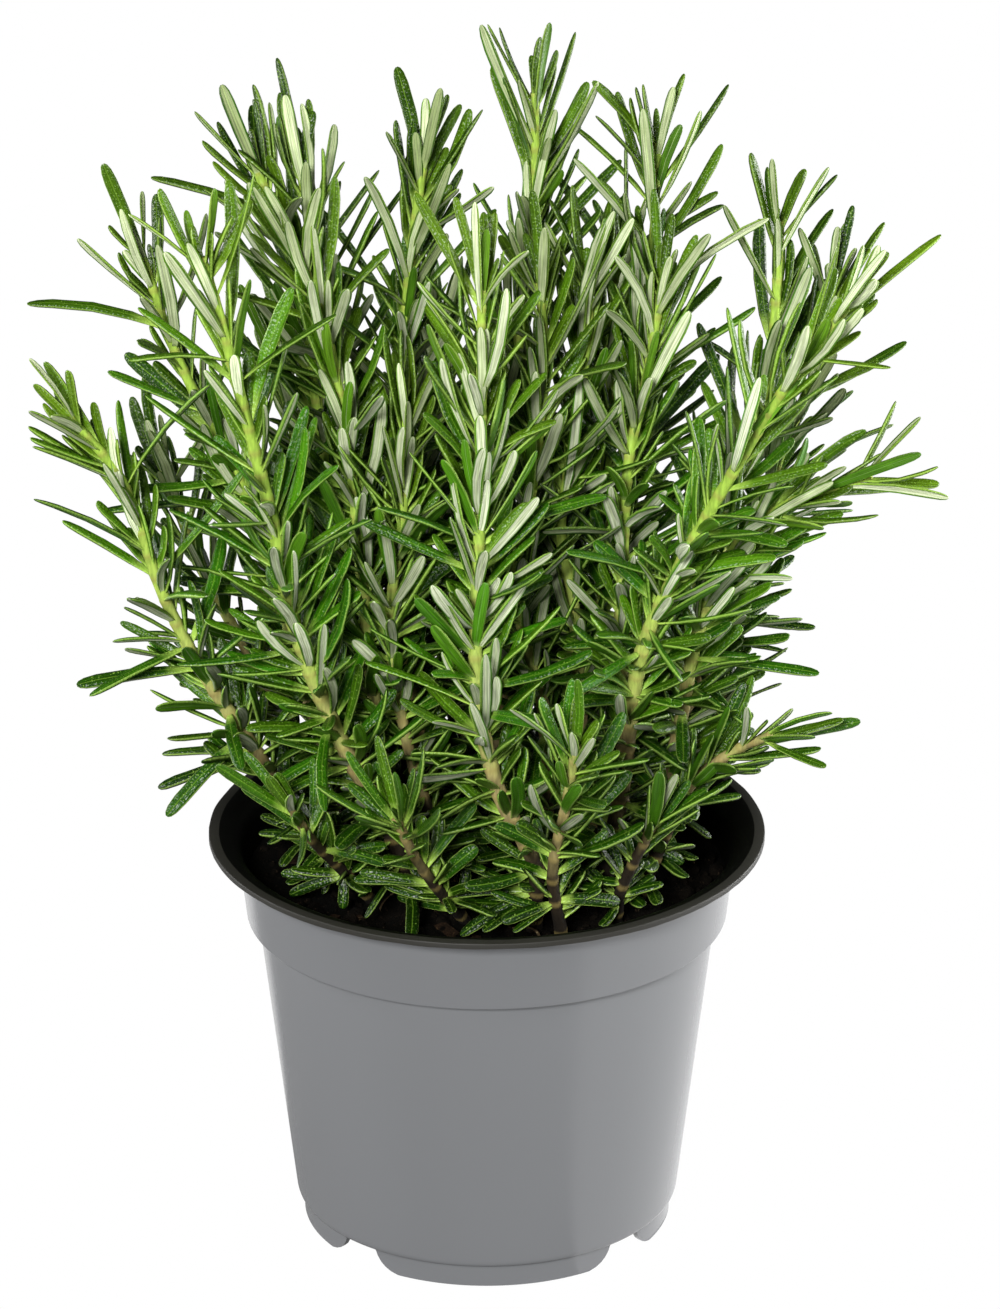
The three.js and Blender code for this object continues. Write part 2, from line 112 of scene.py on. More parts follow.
def add_node(material, kind, inputs, output=0, **settings):
    """Adds a node to a material, or to the world, with its settings and inputs. It gives one of the
    node's outputs, the first or the one that is named."""
    node = material.node_tree.nodes.new("ShaderNode" + kind)
    for name, value in settings.items():
        setattr(node, name, value)
    set_inputs(material, node, inputs)
    return node.outputs[output]


def set_inputs(material, node, inputs):
    """Sets each input of a node to a value, or links it to a socket."""
    for name, value in inputs.items():
        if isinstance(value, bpy.types.NodeSocket):
            material.node_tree.links.new(value, node.inputs[name])
        else:
            node.inputs[name].default_value = value


def apply_modifiers(piece):
    bpy.context.view_layer.objects.active = piece
    for modifier in list(piece.modifiers):
        bpy.ops.object.modifier_apply(modifier=modifier.name)


def only(piece):
    """Selects one object and nothing else."""
    bpy.ops.object.select_all(action="DESELECT")
    piece.select_set(True)
    bpy.context.view_layer.objects.active = piece


def bend(start, corner, end, steps):
    """The points of a quarter bend from one [radius, height] to another, through a corner."""
    points = []
    for i in range(steps + 1):
        t = i / steps
        shares = ((1 - t) ** 2, 2 * t * (1 - t), t * t)
        points.append(tuple(sum(s * p[k] for s, p in zip(shares, (start, corner, end))) for k in (0, 1)))
    return points


def rounded(corner, before, after, steps):
    """A small bend at a corner, between a point before it and one after it that are given from it."""
    start, end = [(corner[0] + across, corner[1] + up) for across, up in (before, after)]
    return bend(start, corner, end, steps)


def spun(name, profile, segments):
    """A turned shell: a point is drawn out along the [radius, height] profile and spun round."""
    bpy.ops.object.select_all(action="DESELECT")
    bpy.ops.mesh.primitive_plane_add(size=MM, location=(0, 0, 0))
    piece = bpy.context.object
    piece.name = piece.data.name = name
    bpy.ops.object.mode_set(mode="EDIT")
    bpy.ops.mesh.merge(type="CENTER")
    here = (0, 0)
    for number, (radius, height) in enumerate(profile):
        step = ((radius - here[0]) * MM, 0, (height - here[1]) * MM)
        if number:
            bpy.ops.mesh.extrude_region_move(TRANSFORM_OT_translate={"value": step})
        else:
            bpy.ops.transform.translate(value=step)
        here = (radius, height)
    bpy.ops.mesh.select_all(action="SELECT")
    bpy.ops.mesh.spin(steps=segments, angle=2 * math.pi, center=(0, 0, 0), axis=(0, 0, 1))
    bpy.ops.mesh.select_all(action="SELECT")
    bpy.ops.mesh.remove_doubles(threshold=0.004 * MM)
    bpy.ops.mesh.normals_make_consistent(inside=False)
    bpy.ops.object.mode_set(mode="OBJECT")
    return piece


def notch_cutter(angle):
    """What is cut from the ring under the floor between two feet: wider at the floor, with hollow sides."""
    low, high = [FOOT_RADIUS * math.sin(math.radians(a / 2)) for a in (NOTCH_FLOOR_ANGLE, NOTCH_TOP_ANGLE)]
    sides = bend((low, 0), (high + 1, 1), (high, FOOT_HEIGHT), NOTCH_STEPS)
    bpy.ops.object.select_all(action="DESELECT")
    bpy.ops.mesh.primitive_plane_add(size=1, location=(0, -FOOT_RADIUS * MM, -MM))
    cutter = bpy.context.object
    bpy.ops.object.mode_set(mode="EDIT")
    bpy.ops.transform.resize(value=(2 * low * MM, NOTCH_CUT * MM, 1))
    width, height = low, -1
    for next_width, next_height in sides:
        rise = (0, 0, (next_height - height) * MM)
        bpy.ops.mesh.extrude_region_move(TRANSFORM_OT_translate={"value": rise})
        bpy.ops.transform.resize(value=(next_width / width, 1, 1))
        width, height = next_width, next_height
    bpy.ops.mesh.select_all(action="SELECT")
    bpy.ops.mesh.normals_make_consistent(inside=False)
    bpy.ops.transform.rotate(value=-math.radians(angle), orient_axis="Z", center_override=(0, 0, 0))
    bpy.ops.object.mode_set(mode="OBJECT")
    return cutter


def drain_cutter(angle):
    place = Vector((DRAIN_CIRCLE * math.cos(angle), DRAIN_CIRCLE * math.sin(angle), FOOT_HEIGHT)) * MM
    bpy.ops.object.select_all(action="DESELECT")
    bpy.ops.mesh.primitive_cylinder_add(
        vertices=DRAIN_SIDES, radius=DRAIN_RADIUS * MM, depth=DRAIN_CUT * MM, location=place)
    return bpy.context.object


lip_top = (RIM_RADIUS - LIP_WIDTH, POT_HEIGHT)
lip_under = (RIM_RADIUS, POT_HEIGHT - LIP_THICKNESS)
inner_wall = [
    (BODY_FOOT_RADIUS - WALL + 0.1, FLOOR_TOP),
    (BODY_TOP_RADIUS - WALL, STEP_HEIGHT - WALL),
    (COLLAR_FOOT[0] - WALL, COLLAR_FOOT[1]),
    (COLLAR_TOP[0] - WALL, COLLAR_TOP[1]),
]
pot_profile = [
    (0, FOOT_HEIGHT),
    (FOOT_RADIUS - FOOT_WALL, FOOT_HEIGHT),
    (FOOT_FLOOR_RADIUS - FOOT_WALL, 0),
    (FOOT_FLOOR_RADIUS, 0),
    *rounded((FOOT_RADIUS, FOOT_HEIGHT), (-0.05, -0.9), (0.5, 0.1), 3),
    *rounded((BODY_FOOT_RADIUS, FOOT_HEIGHT + 0.5), (-0.6, -0.3), (0.15, 1.5), 4),
    (BODY_TOP_RADIUS, STEP_HEIGHT - 0.7),
    *rounded((BODY_TOP_RADIUS, STEP_HEIGHT), (0, -0.6), (0.6, 0), 3),
    *rounded((COLLAR_FOOT[0], STEP_HEIGHT), (-0.5, 0), (0.02, 0.5), 4),
    *bend(COLLAR_TOP, (COLLAR_TOP[0] + 0.6, lip_under[1] - 0.4), lip_under, 9),
    *rounded((RIM_RADIUS, POT_HEIGHT), (0, -0.3), (-0.3, 0), 3),
    *bend(lip_top, (COLLAR_TOP[0] - WALL + 0.6, POT_HEIGHT - 0.6), inner_wall[3], 9),
    inner_wall[2],
    inner_wall[1],
    inner_wall[0],
    (0, FLOOR_TOP),
]
pot = spun("nursery_pot", pot_profile, POT_SEGMENTS)
cutters = [notch_cutter(FOOT_TURN + 360 / FEET * (i + 0.5)) for i in range(FEET)]
cutters += [drain_cutter(2 * math.pi * i / DRAINS) for i in range(DRAINS)]
for cutter in cutters:
    cut = pot.modifiers.new("cut", "BOOLEAN")
    cut.object = cutter
    cut.solver = "EXACT"
apply_modifiers(pot)
for cutter in cutters:
    bpy.data.objects.remove(cutter)

# The lip was cut from the sheet, so its edge wanders a little.
lip_edge = pot.vertex_groups.new(name="lip_edge")
near_lip = [v for v in pot.data.vertices if v.co.z > (POT_HEIGHT - 2) * MM]
lip_edge.add([v.index for v in near_lip if v.co.xy.length > LIP_INNER_RADIUS * MM], 1, "REPLACE")
ragged = bpy.data.textures.new("lip_wander", "CLOUDS")
ragged.noise_scale = LIP_WAVE * MM
ragged.noise_depth = 3
wander = pot.modifiers.new("wander", "DISPLACE")
wander.texture = ragged
wander.texture_coords = "LOCAL"
wander.vertex_group = "lip_edge"
wander.strength = LIP_RAGGED * MM
apply_modifiers(pot)
only(pot)
bpy.ops.object.shade_smooth_by_angle(angle=SHARPEST_SMOOTH)


def sheet_layer(name, colour, roughness, gloss):
    """Polypropylene, coloured through and thermoformed: one even tone and a faint orange peel. The side
    that lay on the mould has a soft sheen, and the other is matter, as is the cut edge."""
    material, shader = new_material(name)
    place = add_node(material, "TexCoord", {}, "Object")
    peel = add_node(material, "TexNoise", {"Vector": place, "Scale": 1 / (PEEL_SIZE * MM), "Detail": 2})
    relief = add_node(material, "Bump", {"Height": peel, "Strength": 0.12, "Distance": PEEL_DEPTH * MM})
    set_inputs(material, shader, {
        "Base Color": linear(colour), "Roughness": roughness, "Specular IOR Level": gloss, "Normal": relief,
    })
    return material


GREY, BLACK, LIP = 0, 1, 2  # the pot's material slots
for layer in (
    ("Grey_polypropylene_thermoformed", "#5b5c5e", 0.26, 0.5),
    ("Black_polypropylene_unpolished_side", "#020201", 0.5, 0.06),
    # The cut lip is the black layer painted lighter: painted light on its top, which faces the lights.
    ("Black_polypropylene_cut_lip", "#1b1a15", 0.6, 0.3),
):
    pot.data.materials.append(sheet_layer(*layer))


def layer_of(face):
    """Which surface a face of the pot is: the grey outside, the black inside, or the lip's cut edge."""
    middle = face.center / MM
    across = Vector((middle.x, middle.y, 0))
    if middle.z > POT_HEIGHT - LIP_THICKNESS - 0.1 and across.length > RIM_RADIUS - LIP_WIDTH - 0.2:
        return LIP
    inwards = -across.normalized().dot(face.normal)
    return BLACK if middle.z > FLOOR_TOP - 0.1 and (inwards > 0.15 or face.normal.z > 0.3) else GREY


for face in pot.data.polygons:
    face.material_index = layer_of(face)
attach(pot, "root")
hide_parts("pot")

# ------------------------------------------------------------------------------------------ the soil
# Damp peat-based potting mix, filled to a centimetre under the rim. Its top is lumpy, with loose
# crumbs, bits of composted bark and dry root fibres on it.
SOIL_RIM_HEIGHT = 86.6
SOIL_CROWN = 1.8
SOIL_SIDE_GAP = 0.15
SOIL_RINGS = 34
SOIL_SEGMENTS = 120
SOIL_FOOT_GAP = 0.3
CLODS = (("clods", 11, 3.2), ("lumps", 4, 2.2), ("grit", 1.7, 1.1))  # their sizes and heights
CRUMBS = 950
CHIPS = 26
FIBRES = 36
FIBRE_BEND = 5
FIBRE_RADIUS = 0.25
FIBRE_LENGTH = 1.7  # in radians of its bend
DAMP_PATCH = 9
SPECK_SIZE = 0.9
DROP_HEIGHT = 200  # from where loose bits are let down on the soil


def random_from(seed):
    """A source of numbers from 0 to 1 that gives the same run each time for the same seed."""
    state = seed & 0xFFFFFFFF

    def draw():
        nonlocal state
        state = (state + 0x6D2B79F5) & 0xFFFFFFFF
        t = ((state ^ (state >> 15)) * (1 | state)) & 0xFFFFFFFF
        t = ((t + (((t ^ (t >> 7)) * (61 | t)) & 0xFFFFFFFF)) & 0xFFFFFFFF) ^ t
        return ((t ^ (t >> 14)) & 0xFFFFFFFF) / 4294967296

    return draw


up_collar = (SOIL_RIM_HEIGHT - COLLAR_FOOT[1]) / (COLLAR_TOP[1] - COLLAR_FOOT[1])
soil_radius = COLLAR_FOOT[0] - WALL - SOIL_SIDE_GAP + (COLLAR_TOP[0] - COLLAR_FOOT[0]) * up_collar
soil_side = [(radius - SOIL_SIDE_GAP, height) for radius, height in inner_wall[:3]]
soil_side[0] = (soil_side[0][0], FLOOR_TOP + SOIL_FOOT_GAP)
soil_top = []
for i in range(SOIL_RINGS):
    share = 1 - i / SOIL_RINGS
    soil_top.append((soil_radius * share, SOIL_RIM_HEIGHT + SOIL_CROWN * (1 - share**2)))
soil_profile = [(0, FLOOR_TOP + SOIL_FOOT_GAP), *soil_side, *soil_top, (0, SOIL_RIM_HEIGHT + SOIL_CROWN)]
soil = spun("potting_soil", soil_profile, SOIL_SEGMENTS)
top_of_soil = soil.vertex_groups.new(name="top")
top_of_soil.add([v.index for v in soil.data.vertices if v.co.z > (SOIL_RIM_HEIGHT - 1) * MM], 1, "REPLACE")
for name, size, height in CLODS:
    texture = bpy.data.textures.new(name, "CLOUDS")
    texture.noise_scale = size * MM
    texture.noise_depth = 2
    raised = soil.modifiers.new(name, "DISPLACE")
    raised.texture = texture
    raised.texture_coords = "LOCAL"
    raised.direction = "Z"
    raised.vertex_group = "top"
    raised.strength = height * MM
apply_modifiers(soil)
only(soil)
bpy.ops.object.shade_smooth()


def crumbly(name, dark, light, fleck, grain):
    """Peat, bark or root matter: matt, because light is lost between its fibres, and uneven in tone
    where it is damp or dry."""
    material, shader = new_material(name)
    place = add_node(material, "TexCoord", {}, "Object")
    damp = add_node(material, "TexNoise", {
        "Vector": place, "Scale": 1 / (DAMP_PATCH * MM), "Detail": 4, "Roughness": 0.65,
    })
    dry = add_node(material, "MapRange", {"Value": damp, "From Min": 0.42, "From Max": 0.72})
    tone = add_node(material, "MixRGB", {"Fac": dry, "Color1": linear(dark), "Color2": linear(light)})
    specks = add_node(material, "TexNoise", {"Vector": place, "Scale": 1 / (SPECK_SIZE * MM), "Detail": 1})
    pale = add_node(material, "MapRange", {"Value": specks, "From Min": 0.66, "From Max": 0.72})
    flecked = add_node(material, "MixRGB", {"Fac": pale, "Color1": tone, "Color2": linear(fleck)})
    fine = add_node(material, "TexNoise", {"Vector": place, "Scale": 1 / (grain * MM), "Detail": 3})
    relief = add_node(material, "Bump", {"Height": fine, "Strength": 0.9, "Distance": 0.5 * MM})
    set_inputs(material, shader, {
        "Base Color": flecked, "Normal": relief, "Roughness": 0.93, "Specular IOR Level": 0.04,
    })
    return material


soil.data.materials.append(crumbly("Damp_peat_potting_mix", "#020201", "#070503", "#140f0a", grain=0.8))
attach(soil, "root")
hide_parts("soil")


def copies_as_piece(name, master, places, material):
    """One piece with a copy of the master's mesh at each place, given as a 4x4 matrix in metres."""
    corners = np.array([v.co for v in master.data.vertices])
    faces = [tuple(face.vertices) for face in master.data.polygons]
    points = []
    loops = []
    for place in places:
        start = len(points) * len(corners)
        points.append(corners @ place[:3, :3].T + place[:3, 3])
        loops += [tuple(start + i for i in face) for face in faces]
    mesh = bpy.data.meshes.new(name)
    mesh.from_pydata(np.vstack(points).tolist(), [], loops)
    mesh.materials.append(material)
    piece = bpy.data.objects.new(name, mesh)
    bpy.context.scene.collection.objects.link(piece)
    bpy.data.objects.remove(master)
    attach(piece, "root")
    return piece


def scatter(count, seed, sizes, lie, reach):
    """Places on the soil for loose bits: sizes gives one bit's three sizes from a random source, and
    lie is how flat it lies, from 0 for any way up to 1 for flat."""
    corners = [v.co for v in soil.data.vertices]
    ground = BVHTree.FromPolygons(corners, [tuple(p.vertices) for p in soil.data.polygons])
    random = random_from(seed)
    places = []
    for _ in range(count):
        radius = reach * math.sqrt(random())
        angle = 2 * math.pi * random()
        spot = Vector((radius * math.cos(angle), radius * math.sin(angle), DROP_HEIGHT)) * MM
        hit = ground.ray_cast(spot, Vector((0, 0, -1)))[0]
        turned = np.eye(3)
        for axis, most in ((0, 1 - lie), (1, 1 - lie), (2, 1)):
            spin = 2 * math.pi * most * (random() - 0.5)
            c, s = math.cos(spin), math.sin(spin)
            i, j = [k for k in range(3) if k != axis]
            about_axis = np.eye(3)
            about_axis[[i, i, j, j], [i, j, i, j]] = (c, -s, s, c)
            turned = about_axis @ turned
        size = np.array(sizes(random))
        place = np.eye(4)
        place[:3, :3] = turned * size
        place[:3, 3] = (hit.x, hit.y, hit.z + 0.25 * size.min() * MM)
        places.append(place)
    return places


# A crumb is a rough ball, a bark chip a thin splinter with broken ends, and a fibre a bent thread.
bpy.ops.mesh.primitive_ico_sphere_add(subdivisions=2, radius=0.5 * MM)
crumb = bpy.context.object
bpy.ops.object.mode_set(mode="EDIT")
bpy.ops.transform.vertex_random(offset=0.16 * MM, seed=3)
bpy.ops.object.mode_set(mode="OBJECT")


def crumb_sizes(random):
    size = 0.8 + 3.4 * random() ** 3
    return (size, size * (0.6 + 0.4 * random()), size * (0.5 + 0.4 * random()))


crumb_places = scatter(CRUMBS, seed=11, sizes=crumb_sizes, lie=0, reach=soil_radius - 1.2)
crumbled_peat = crumbly("Crumbled_peat", "#030201", "#0b0805", "#1e1710", grain=0.5)
copies_as_piece("soil_crumbs", crumb, crumb_places, crumbled_peat)

bpy.ops.object.select_all(action="DESELECT")
bpy.ops.mesh.primitive_cube_add(size=MM)
chip = bpy.context.object
bpy.ops.object.mode_set(mode="EDIT")
bpy.ops.mesh.subdivide(number_cuts=1)
bpy.ops.transform.vertex_random(offset=0.12 * MM, seed=8)
bpy.ops.object.mode_set(mode="OBJECT")


def chip_sizes(random):
    return (2 + 5 * random(), 1 + 1.8 * random(), 0.5 + 0.7 * random())


chip_places = scatter(CHIPS, seed=12, sizes=chip_sizes, lie=0.9, reach=soil_radius - 3)
composted_bark = crumbly("Composted_bark", "#120c07", "#261a10", "#382a1b", grain=0.7)
copies_as_piece("bark_chips", chip, chip_places, composted_bark)

bpy.ops.object.select_all(action="DESELECT")
bpy.ops.mesh.primitive_circle_add(
    vertices=5, radius=FIBRE_RADIUS * MM, fill_type="NGON",
    location=(FIBRE_BEND * MM, 0, 0), rotation=(math.pi / 2, 0, 0))
fibre = bpy.context.object
bpy.ops.object.transform_apply(location=True, rotation=True)
bpy.ops.object.mode_set(mode="EDIT")
bpy.ops.mesh.spin(steps=8, angle=FIBRE_LENGTH, center=(0, 0, 0), axis=(0, 0, 1))
bpy.ops.mesh.select_all(action="SELECT")
bpy.ops.mesh.normals_make_consistent(inside=False)
bpy.ops.transform.translate(value=(-4.2 * MM, -3 * MM, 0))
bpy.ops.object.mode_set(mode="OBJECT")


def fibre_sizes(random):
    length = 0.5 + 1.3 * random()
    return (length, length * (0.5 + 0.7 * random()), 0.3)


fibre_places = scatter(FIBRES, seed=13, sizes=fibre_sizes, lie=0.88, reach=soil_radius - 8)
dry_root_fibre = crumbly("Dry_root_fibre", "#2b2217", "#4b3f2c", "#6b5e45", grain=0.5)
copies_as_piece("root_fibres", fibre, fibre_places, dry_root_fibre)

# ----------------------------------------------------------------------------------- the stems' lines
# Rosemary cuttings, rooted together: square stems that start brown and woody at the soil and end
# soft and green. Each follows the same smooth line as its solid.
TIP_RADIUS = 1
TURN_SEED = 7000
LINE_STEPS = 200
FIRST_PAIR = 9
PAIR_SPACING = [(0, 13.5), (0.5, 13), (1, 9.5)]
FULL_GROWN = 110  # the length of stem from which its leaves have their full size
# Each stem's radius at the soil, and the points that it passes through from there to its tip.
STEMS = {
    "left_outer": (1.9, (-34, -6, 91), (-45, -9, 106), (-53, -12, 122), (-65, -14, 143), (-74, -16, 164),
                   (-82, -18, 191), (-93, -21, 207)),
    "left_upper": (1.7, (-30, 4, 91), (-41, 8, 125), (-52, 10, 168), (-62, 9, 192), (-71, 8, 213),
                   (-78, 6, 237)),
    "front_left_main": (2, (-17, -24, 91), (-22, -25, 108), (-33, -27, 131), (-43, -29, 159),
                        (-48, -32, 188), (-54, -35, 216), (-58, -37, 235), (-62, -39, 251)),
    "centre_left": (1.7, (-20, -8, 91), (-25, -8, 125), (-28, -8, 158), (-31, -7, 192), (-36, -6, 223),
                    (-41, -5, 238)),
    "back_left_high": (1.7, (-24, 16, 91), (-30, 17, 130), (-37, 19, 180), (-43, 20, 224), (-48, 22, 241),
                       (-52, 24, 250)),
    "back_left_inner": (1.7, (-15, 16, 91), (-23, 15, 135), (-30, 14, 180), (-37, 15, 218), (-40, 18, 238),
                        (-42, 20, 251)),
    "centre_back": (1.7, (-9, 4, 91), (-16, 8, 120), (-20, 12, 159), (-19, 16, 193), (-18, 18, 224),
                    (-14, 20, 257)),
    "top_centre": (1.9, (2, 18, 91), (4, 21, 140), (6, 24, 185), (8, 25, 219), (11, 28, 242),
                   (11, 30, 267)),
    "front_main": (2, (11, -35, 91), (11, -41, 107), (3, -40, 124), (-2, -38, 147), (-2, -34, 173),
                   (-1, -31, 196), (-1, -28, 219), (-1, -26, 239)),
    "centre_inner": (1.7, (13, -14, 91), (14, -12, 112), (13, -11, 133), (9, -9, 148), (7, -7, 167),
                     (11, -5, 189), (13, -3, 217), (12, -1, 232)),
    "centre_right": (1.6, (25, -4, 91), (22, -1, 125), (20, 0, 154), (17, 2, 172), (20, 3, 193),
                     (23, 5, 217), (23, 6, 231)),
    "back_right_inner": (1.7, (20, 16, 91), (25, 20, 135), (28, 24, 182), (29, 27, 211), (31, 30, 231)),
    "right_high": (1.8, (31, 9, 91), (31, 11, 140), (33, 13, 180), (35, 16, 211), (38, 20, 233),
                   (39, 24, 257)),
    "right_inner": (1.7, (32, -8, 91), (31, -6, 135), (32, -2, 185), (36, 2, 206), (40, 5, 231)),
    "right_upper": (1.8, (38, 2, 91), (46, 5, 130), (53, 8, 160), (58, 10, 183), (65, 14, 208),
                    (67, 19, 240)),
    "front_right_main": (2, (27, -19, 91), (31, -20, 116), (33, -22, 136), (36, -25, 155), (44, -29, 176),
                         (55, -33, 199), (67, -37, 222), (80, -41, 242)),
    "right_back": (1.8, (37, 14, 91), (50, 17, 130), (62, 20, 165), (70, 23, 188), (77, 26, 203),
                   (80, 29, 222)),
    "right_low_back": (1.7, (37, -7, 91), (44, -10, 125), (48, -12, 150), (55, -14, 171), (67, -18, 185),
                       (86, -22, 194)),
    "right_low": (1.6, (36, -20, 91), (42, -22, 108), (47, -25, 120), (57, -29, 130), (64, -33, 135)),
    "front_sprig": (1.4, (17, -43, 91), (15, -48, 108), (18, -54, 128), (20, -60, 144)),
    "front_right_sprig": (1.3, (30, -33, 91), (31, -36, 99), (38, -41, 117)),
    "centre_sprig": (1.4, (-8, -15, 91), (-18, -15, 125), (-22, -15, 154), (-19, -14, 181),
                     (-18, -13, 204)),
    "back_left_spray": (1.8, (-22, 28, 91), (-34, 37, 130), (-43, 44, 168), (-50, 49, 200)),
    "back_spray": (1.8, (-6, 30, 91), (-9, 41, 130), (-11, 48, 170), (-12, 53, 205)),
    "back_right_spray": (1.8, (12, 29, 91), (19, 40, 128), (24, 47, 165), (28, 52, 196)),
    "far_right_spray": (1.7, (28, 25, 91), (42, 35, 125), (55, 44, 157), (64, 49, 186)),
    "left_back_spray": (1.7, (-34, 15, 91), (-50, 25, 120), (-66, 33, 147), (-76, 38, 172)),
    "back_low_left": (1.4, (-14, 36, 91), (-20, 46, 106), (-28, 53, 118)),
    "back_low_right": (1.4, (6, 38, 91), (8, 46, 106), (10, 52, 121)),
    "front_left_low": (1.5, (-28, -22, 91), (-34, -29, 101), (-40, -38, 112), (-44, -46, 123)),
    "front_low": (1.4, (-6, -34, 91), (-11, -42, 101), (-16, -49, 112), (-20, -55, 124)),
    "right_back_low": (1.4, (42, 18, 91), (50, 28, 104), (57, 38, 116)),
}
UP = np.array((0.0, 0.0, 1.0))


def unit(vectors):
    return vectors / np.linalg.norm(vectors, axis=-1, keepdims=True)


def table_value(rows, share):
    """The value of a table of (place, value) rows at a place between theirs."""
    return float(np.interp(share, *zip(*rows)))


class Stem:
    """A stem's smooth line through its route. A share is a place on it, from 0 at the soil to 1 at its
    tip."""

    def __init__(self, index, name, radius, *route):
        self.index = index
        self.name = name
        self.radius = radius
        first, last = np.array(route[0], float), np.array(route[-1], float)
        self.route = np.array([2 * first - route[1], *route, 2 * last - route[-2]], float)
        self.turn = 2 * math.pi * random_from(TURN_SEED + index)()
        spots = np.array([self.spot(i / LINE_STEPS) for i in range(LINE_STEPS + 1)])
        steps = np.linalg.norm(np.diff(spots, axis=0), axis=1)
        self.reached = np.concatenate([[0], np.cumsum(steps)])
        self.length = self.reached[-1]
        self.vigour = min(0.6 + 0.4 * self.length / FULL_GROWN, 1)
        self.pairs = self.pairs_of_leaves()

    def spot(self, t):
        """The point at t from 0 to 1 of the route's own counting, which isn't even in length."""
        place = t * (len(self.route) - 3)
        i = min(int(place), len(self.route) - 4)
        w = place - i
        before, start, end, after = self.route[i : i + 4]
        lean_in, lean_out = (end - before) / 2, (after - start) / 2
        square = -3 * start + 3 * end - 2 * lean_in - lean_out
        cube = 2 * start - 2 * end + lean_in + lean_out
        return start + lean_in * w + square * w * w + cube * w**3

    def counting(self, share):
        return float(np.interp(share * self.length, self.reached, np.linspace(0, 1, LINE_STEPS + 1)))

    def point(self, share):
        return self.spot(self.counting(share))

    def direction(self, share):
        t = self.counting(share)
        return unit(self.spot(min(t + 1e-4, 1)) - self.spot(max(t - 1e-4, 0)))

    def sides(self, direction):
        """The directions that two neighbouring sides face, where the stem runs along direction."""
        x = unit(np.array((1.0, 0, 0)) - direction * direction[0])
        y = np.cross(direction, x)
        x = x * math.cos(self.turn) + y * math.sin(self.turn)
        return x, np.cross(direction, x)

    def radius_at(self, share):
        return self.radius + (TIP_RADIUS - self.radius) * share

    def pairs_of_leaves(self):
        """The places and turns of the crossed pairs of leaves that the solid stem has."""
        pairs = []
        at = FIRST_PAIR
        while at < self.length - 3:
            pairs.append((at / self.length, 90 * len(pairs)))
            at += table_value(PAIR_SPACING, pairs[-1][0])
        return pairs


stems = [Stem(index, name, *shape) for index, (name, shape) in enumerate(STEMS.items())]

# ---------------------------------------------------------------------------------- where leaves grow
# Rosemary leaves stand in crossed pairs, with tufts of younger ones in their axils and upright ones
# at the tip. The first pass places those of the solid stems, by the same rule. The second pass adds
# the pairs between them, the tufts and more at the tips, and lets leaves come as close as real ones.
LEAF_LENGTH = [(0, 17), (0.15, 22), (0.35, 27), (0.6, 31), (0.85, 31), (1, 27)]
LEAF_ANGLE = [(0, 92), (0.25, 78), (0.55, 56), (0.85, 36), (1, 25)]  # degrees from the stem
LEAF_WIDTH = [(0, 2.9), (0.5, 2.7), (1, 2.4)]
TOWARDS_LIGHT = np.array((0, -0.25, 0.45))  # how a leaf turns its face to the light
TIP_LEAVES = 4
PAIR_SEED, TIP_SEED = 1000, 9000
REACH = np.array((104, 90, 286))
RIM_INNER, RIM_OUTER, RIM_CLEAR_HEIGHT = 53, 76, 113
TESTED_SPOTS = (0.3, 0.5, 0.75, 1)
STRETCH_ENDS = (0.15, 0.55, 1)
FAR_APART = 60
STRAIGHT_STRETCH = 8
# The least distance from a leaf's middle line to a leaf of another stem, to one of its own stem and to
# another stem's side, how low it may hang, and how strongly it turns to the light.
SOLID_SPACE = {"leaf": 3.5, "own": 2.3, "stem": 1.9, "lowest": 93, "lit": 1}
REAL_SPACE = {"leaf": 2.3, "own": 1.15, "stem": 1.0, "lowest": 90.8, "lit": 0.3}
# A leaf in the way of another is turned round the stem and bent from it, in degrees, and shortened.
CHANGES = [
    (0, 0, 1), (14, 0, 1), (-14, 0, 1), (28, -6, 0.95), (-28, -6, 0.95), (0, -14, 0.9),
    (0, 14, 0.85), (40, 0, 0.8), (-40, 0, 0.8), (0, 0, 0.65), (20, 10, 0.6), (-20, -10, 0.6),
]
MOST_STRETCHES = 16000
YOUNG_FROM = 0.45  # the share of a stem from where its growth is young
LIGHT_FROM, FULL_LIGHT = 110, 190  # heights of a stem's end that is in the shade and in full light


class Leaf:
    """A leaf's line: it leaves its root along a direction, and arches from it."""

    def __init__(self, stem, root, directions, wish, change):
        turn, bend_more, size = change
        direction, x, y = directions
        around = math.radians(wish["turn"] + turn)
        angle = math.radians(max(wish["angle"] + bend_more, 6))
        out = x * math.cos(around) + y * math.sin(around)
        self.stem = stem
        self.root = root
        self.along = direction * math.cos(angle) + out * math.sin(angle)
        face = unit(direction - self.along * (direction @ self.along))
        self.arch = face * wish["curl"] - UP * wish["droop"]
        lit = face + TOWARDS_LIGHT * wish["lit"]
        face = unit(lit - self.along * (lit @ self.along))
        side = np.cross(face, self.along)
        self.face = face * math.cos(wish["roll"]) + side * math.sin(wish["roll"])
        self.length = wish["length"] * size
        self.width = wish["width"]
        self.youth = wish["youth"]
        self.open = wish["open"]

    def point(self, t):
        return self.root + self.along * self.length * t + self.arch * self.length * t * t

    def stays_in_place(self, lowest):
        """Whether it is inside the plant's reach, over the soil and away from the pot's rim."""
        for t in TESTED_SPOTS:
            p = self.point(t)
            at_rim = p[2] < RIM_CLEAR_HEIGHT and RIM_INNER < math.hypot(p[0], p[1]) < RIM_OUTER
            if p[2] < lowest or at_rim or (np.abs(p) > REACH).any():
                return False
        return True

    def stretches(self):
        a, b, c = (self.point(t) for t in STRETCH_ENDS)
        return [(a, b), (b, c)]


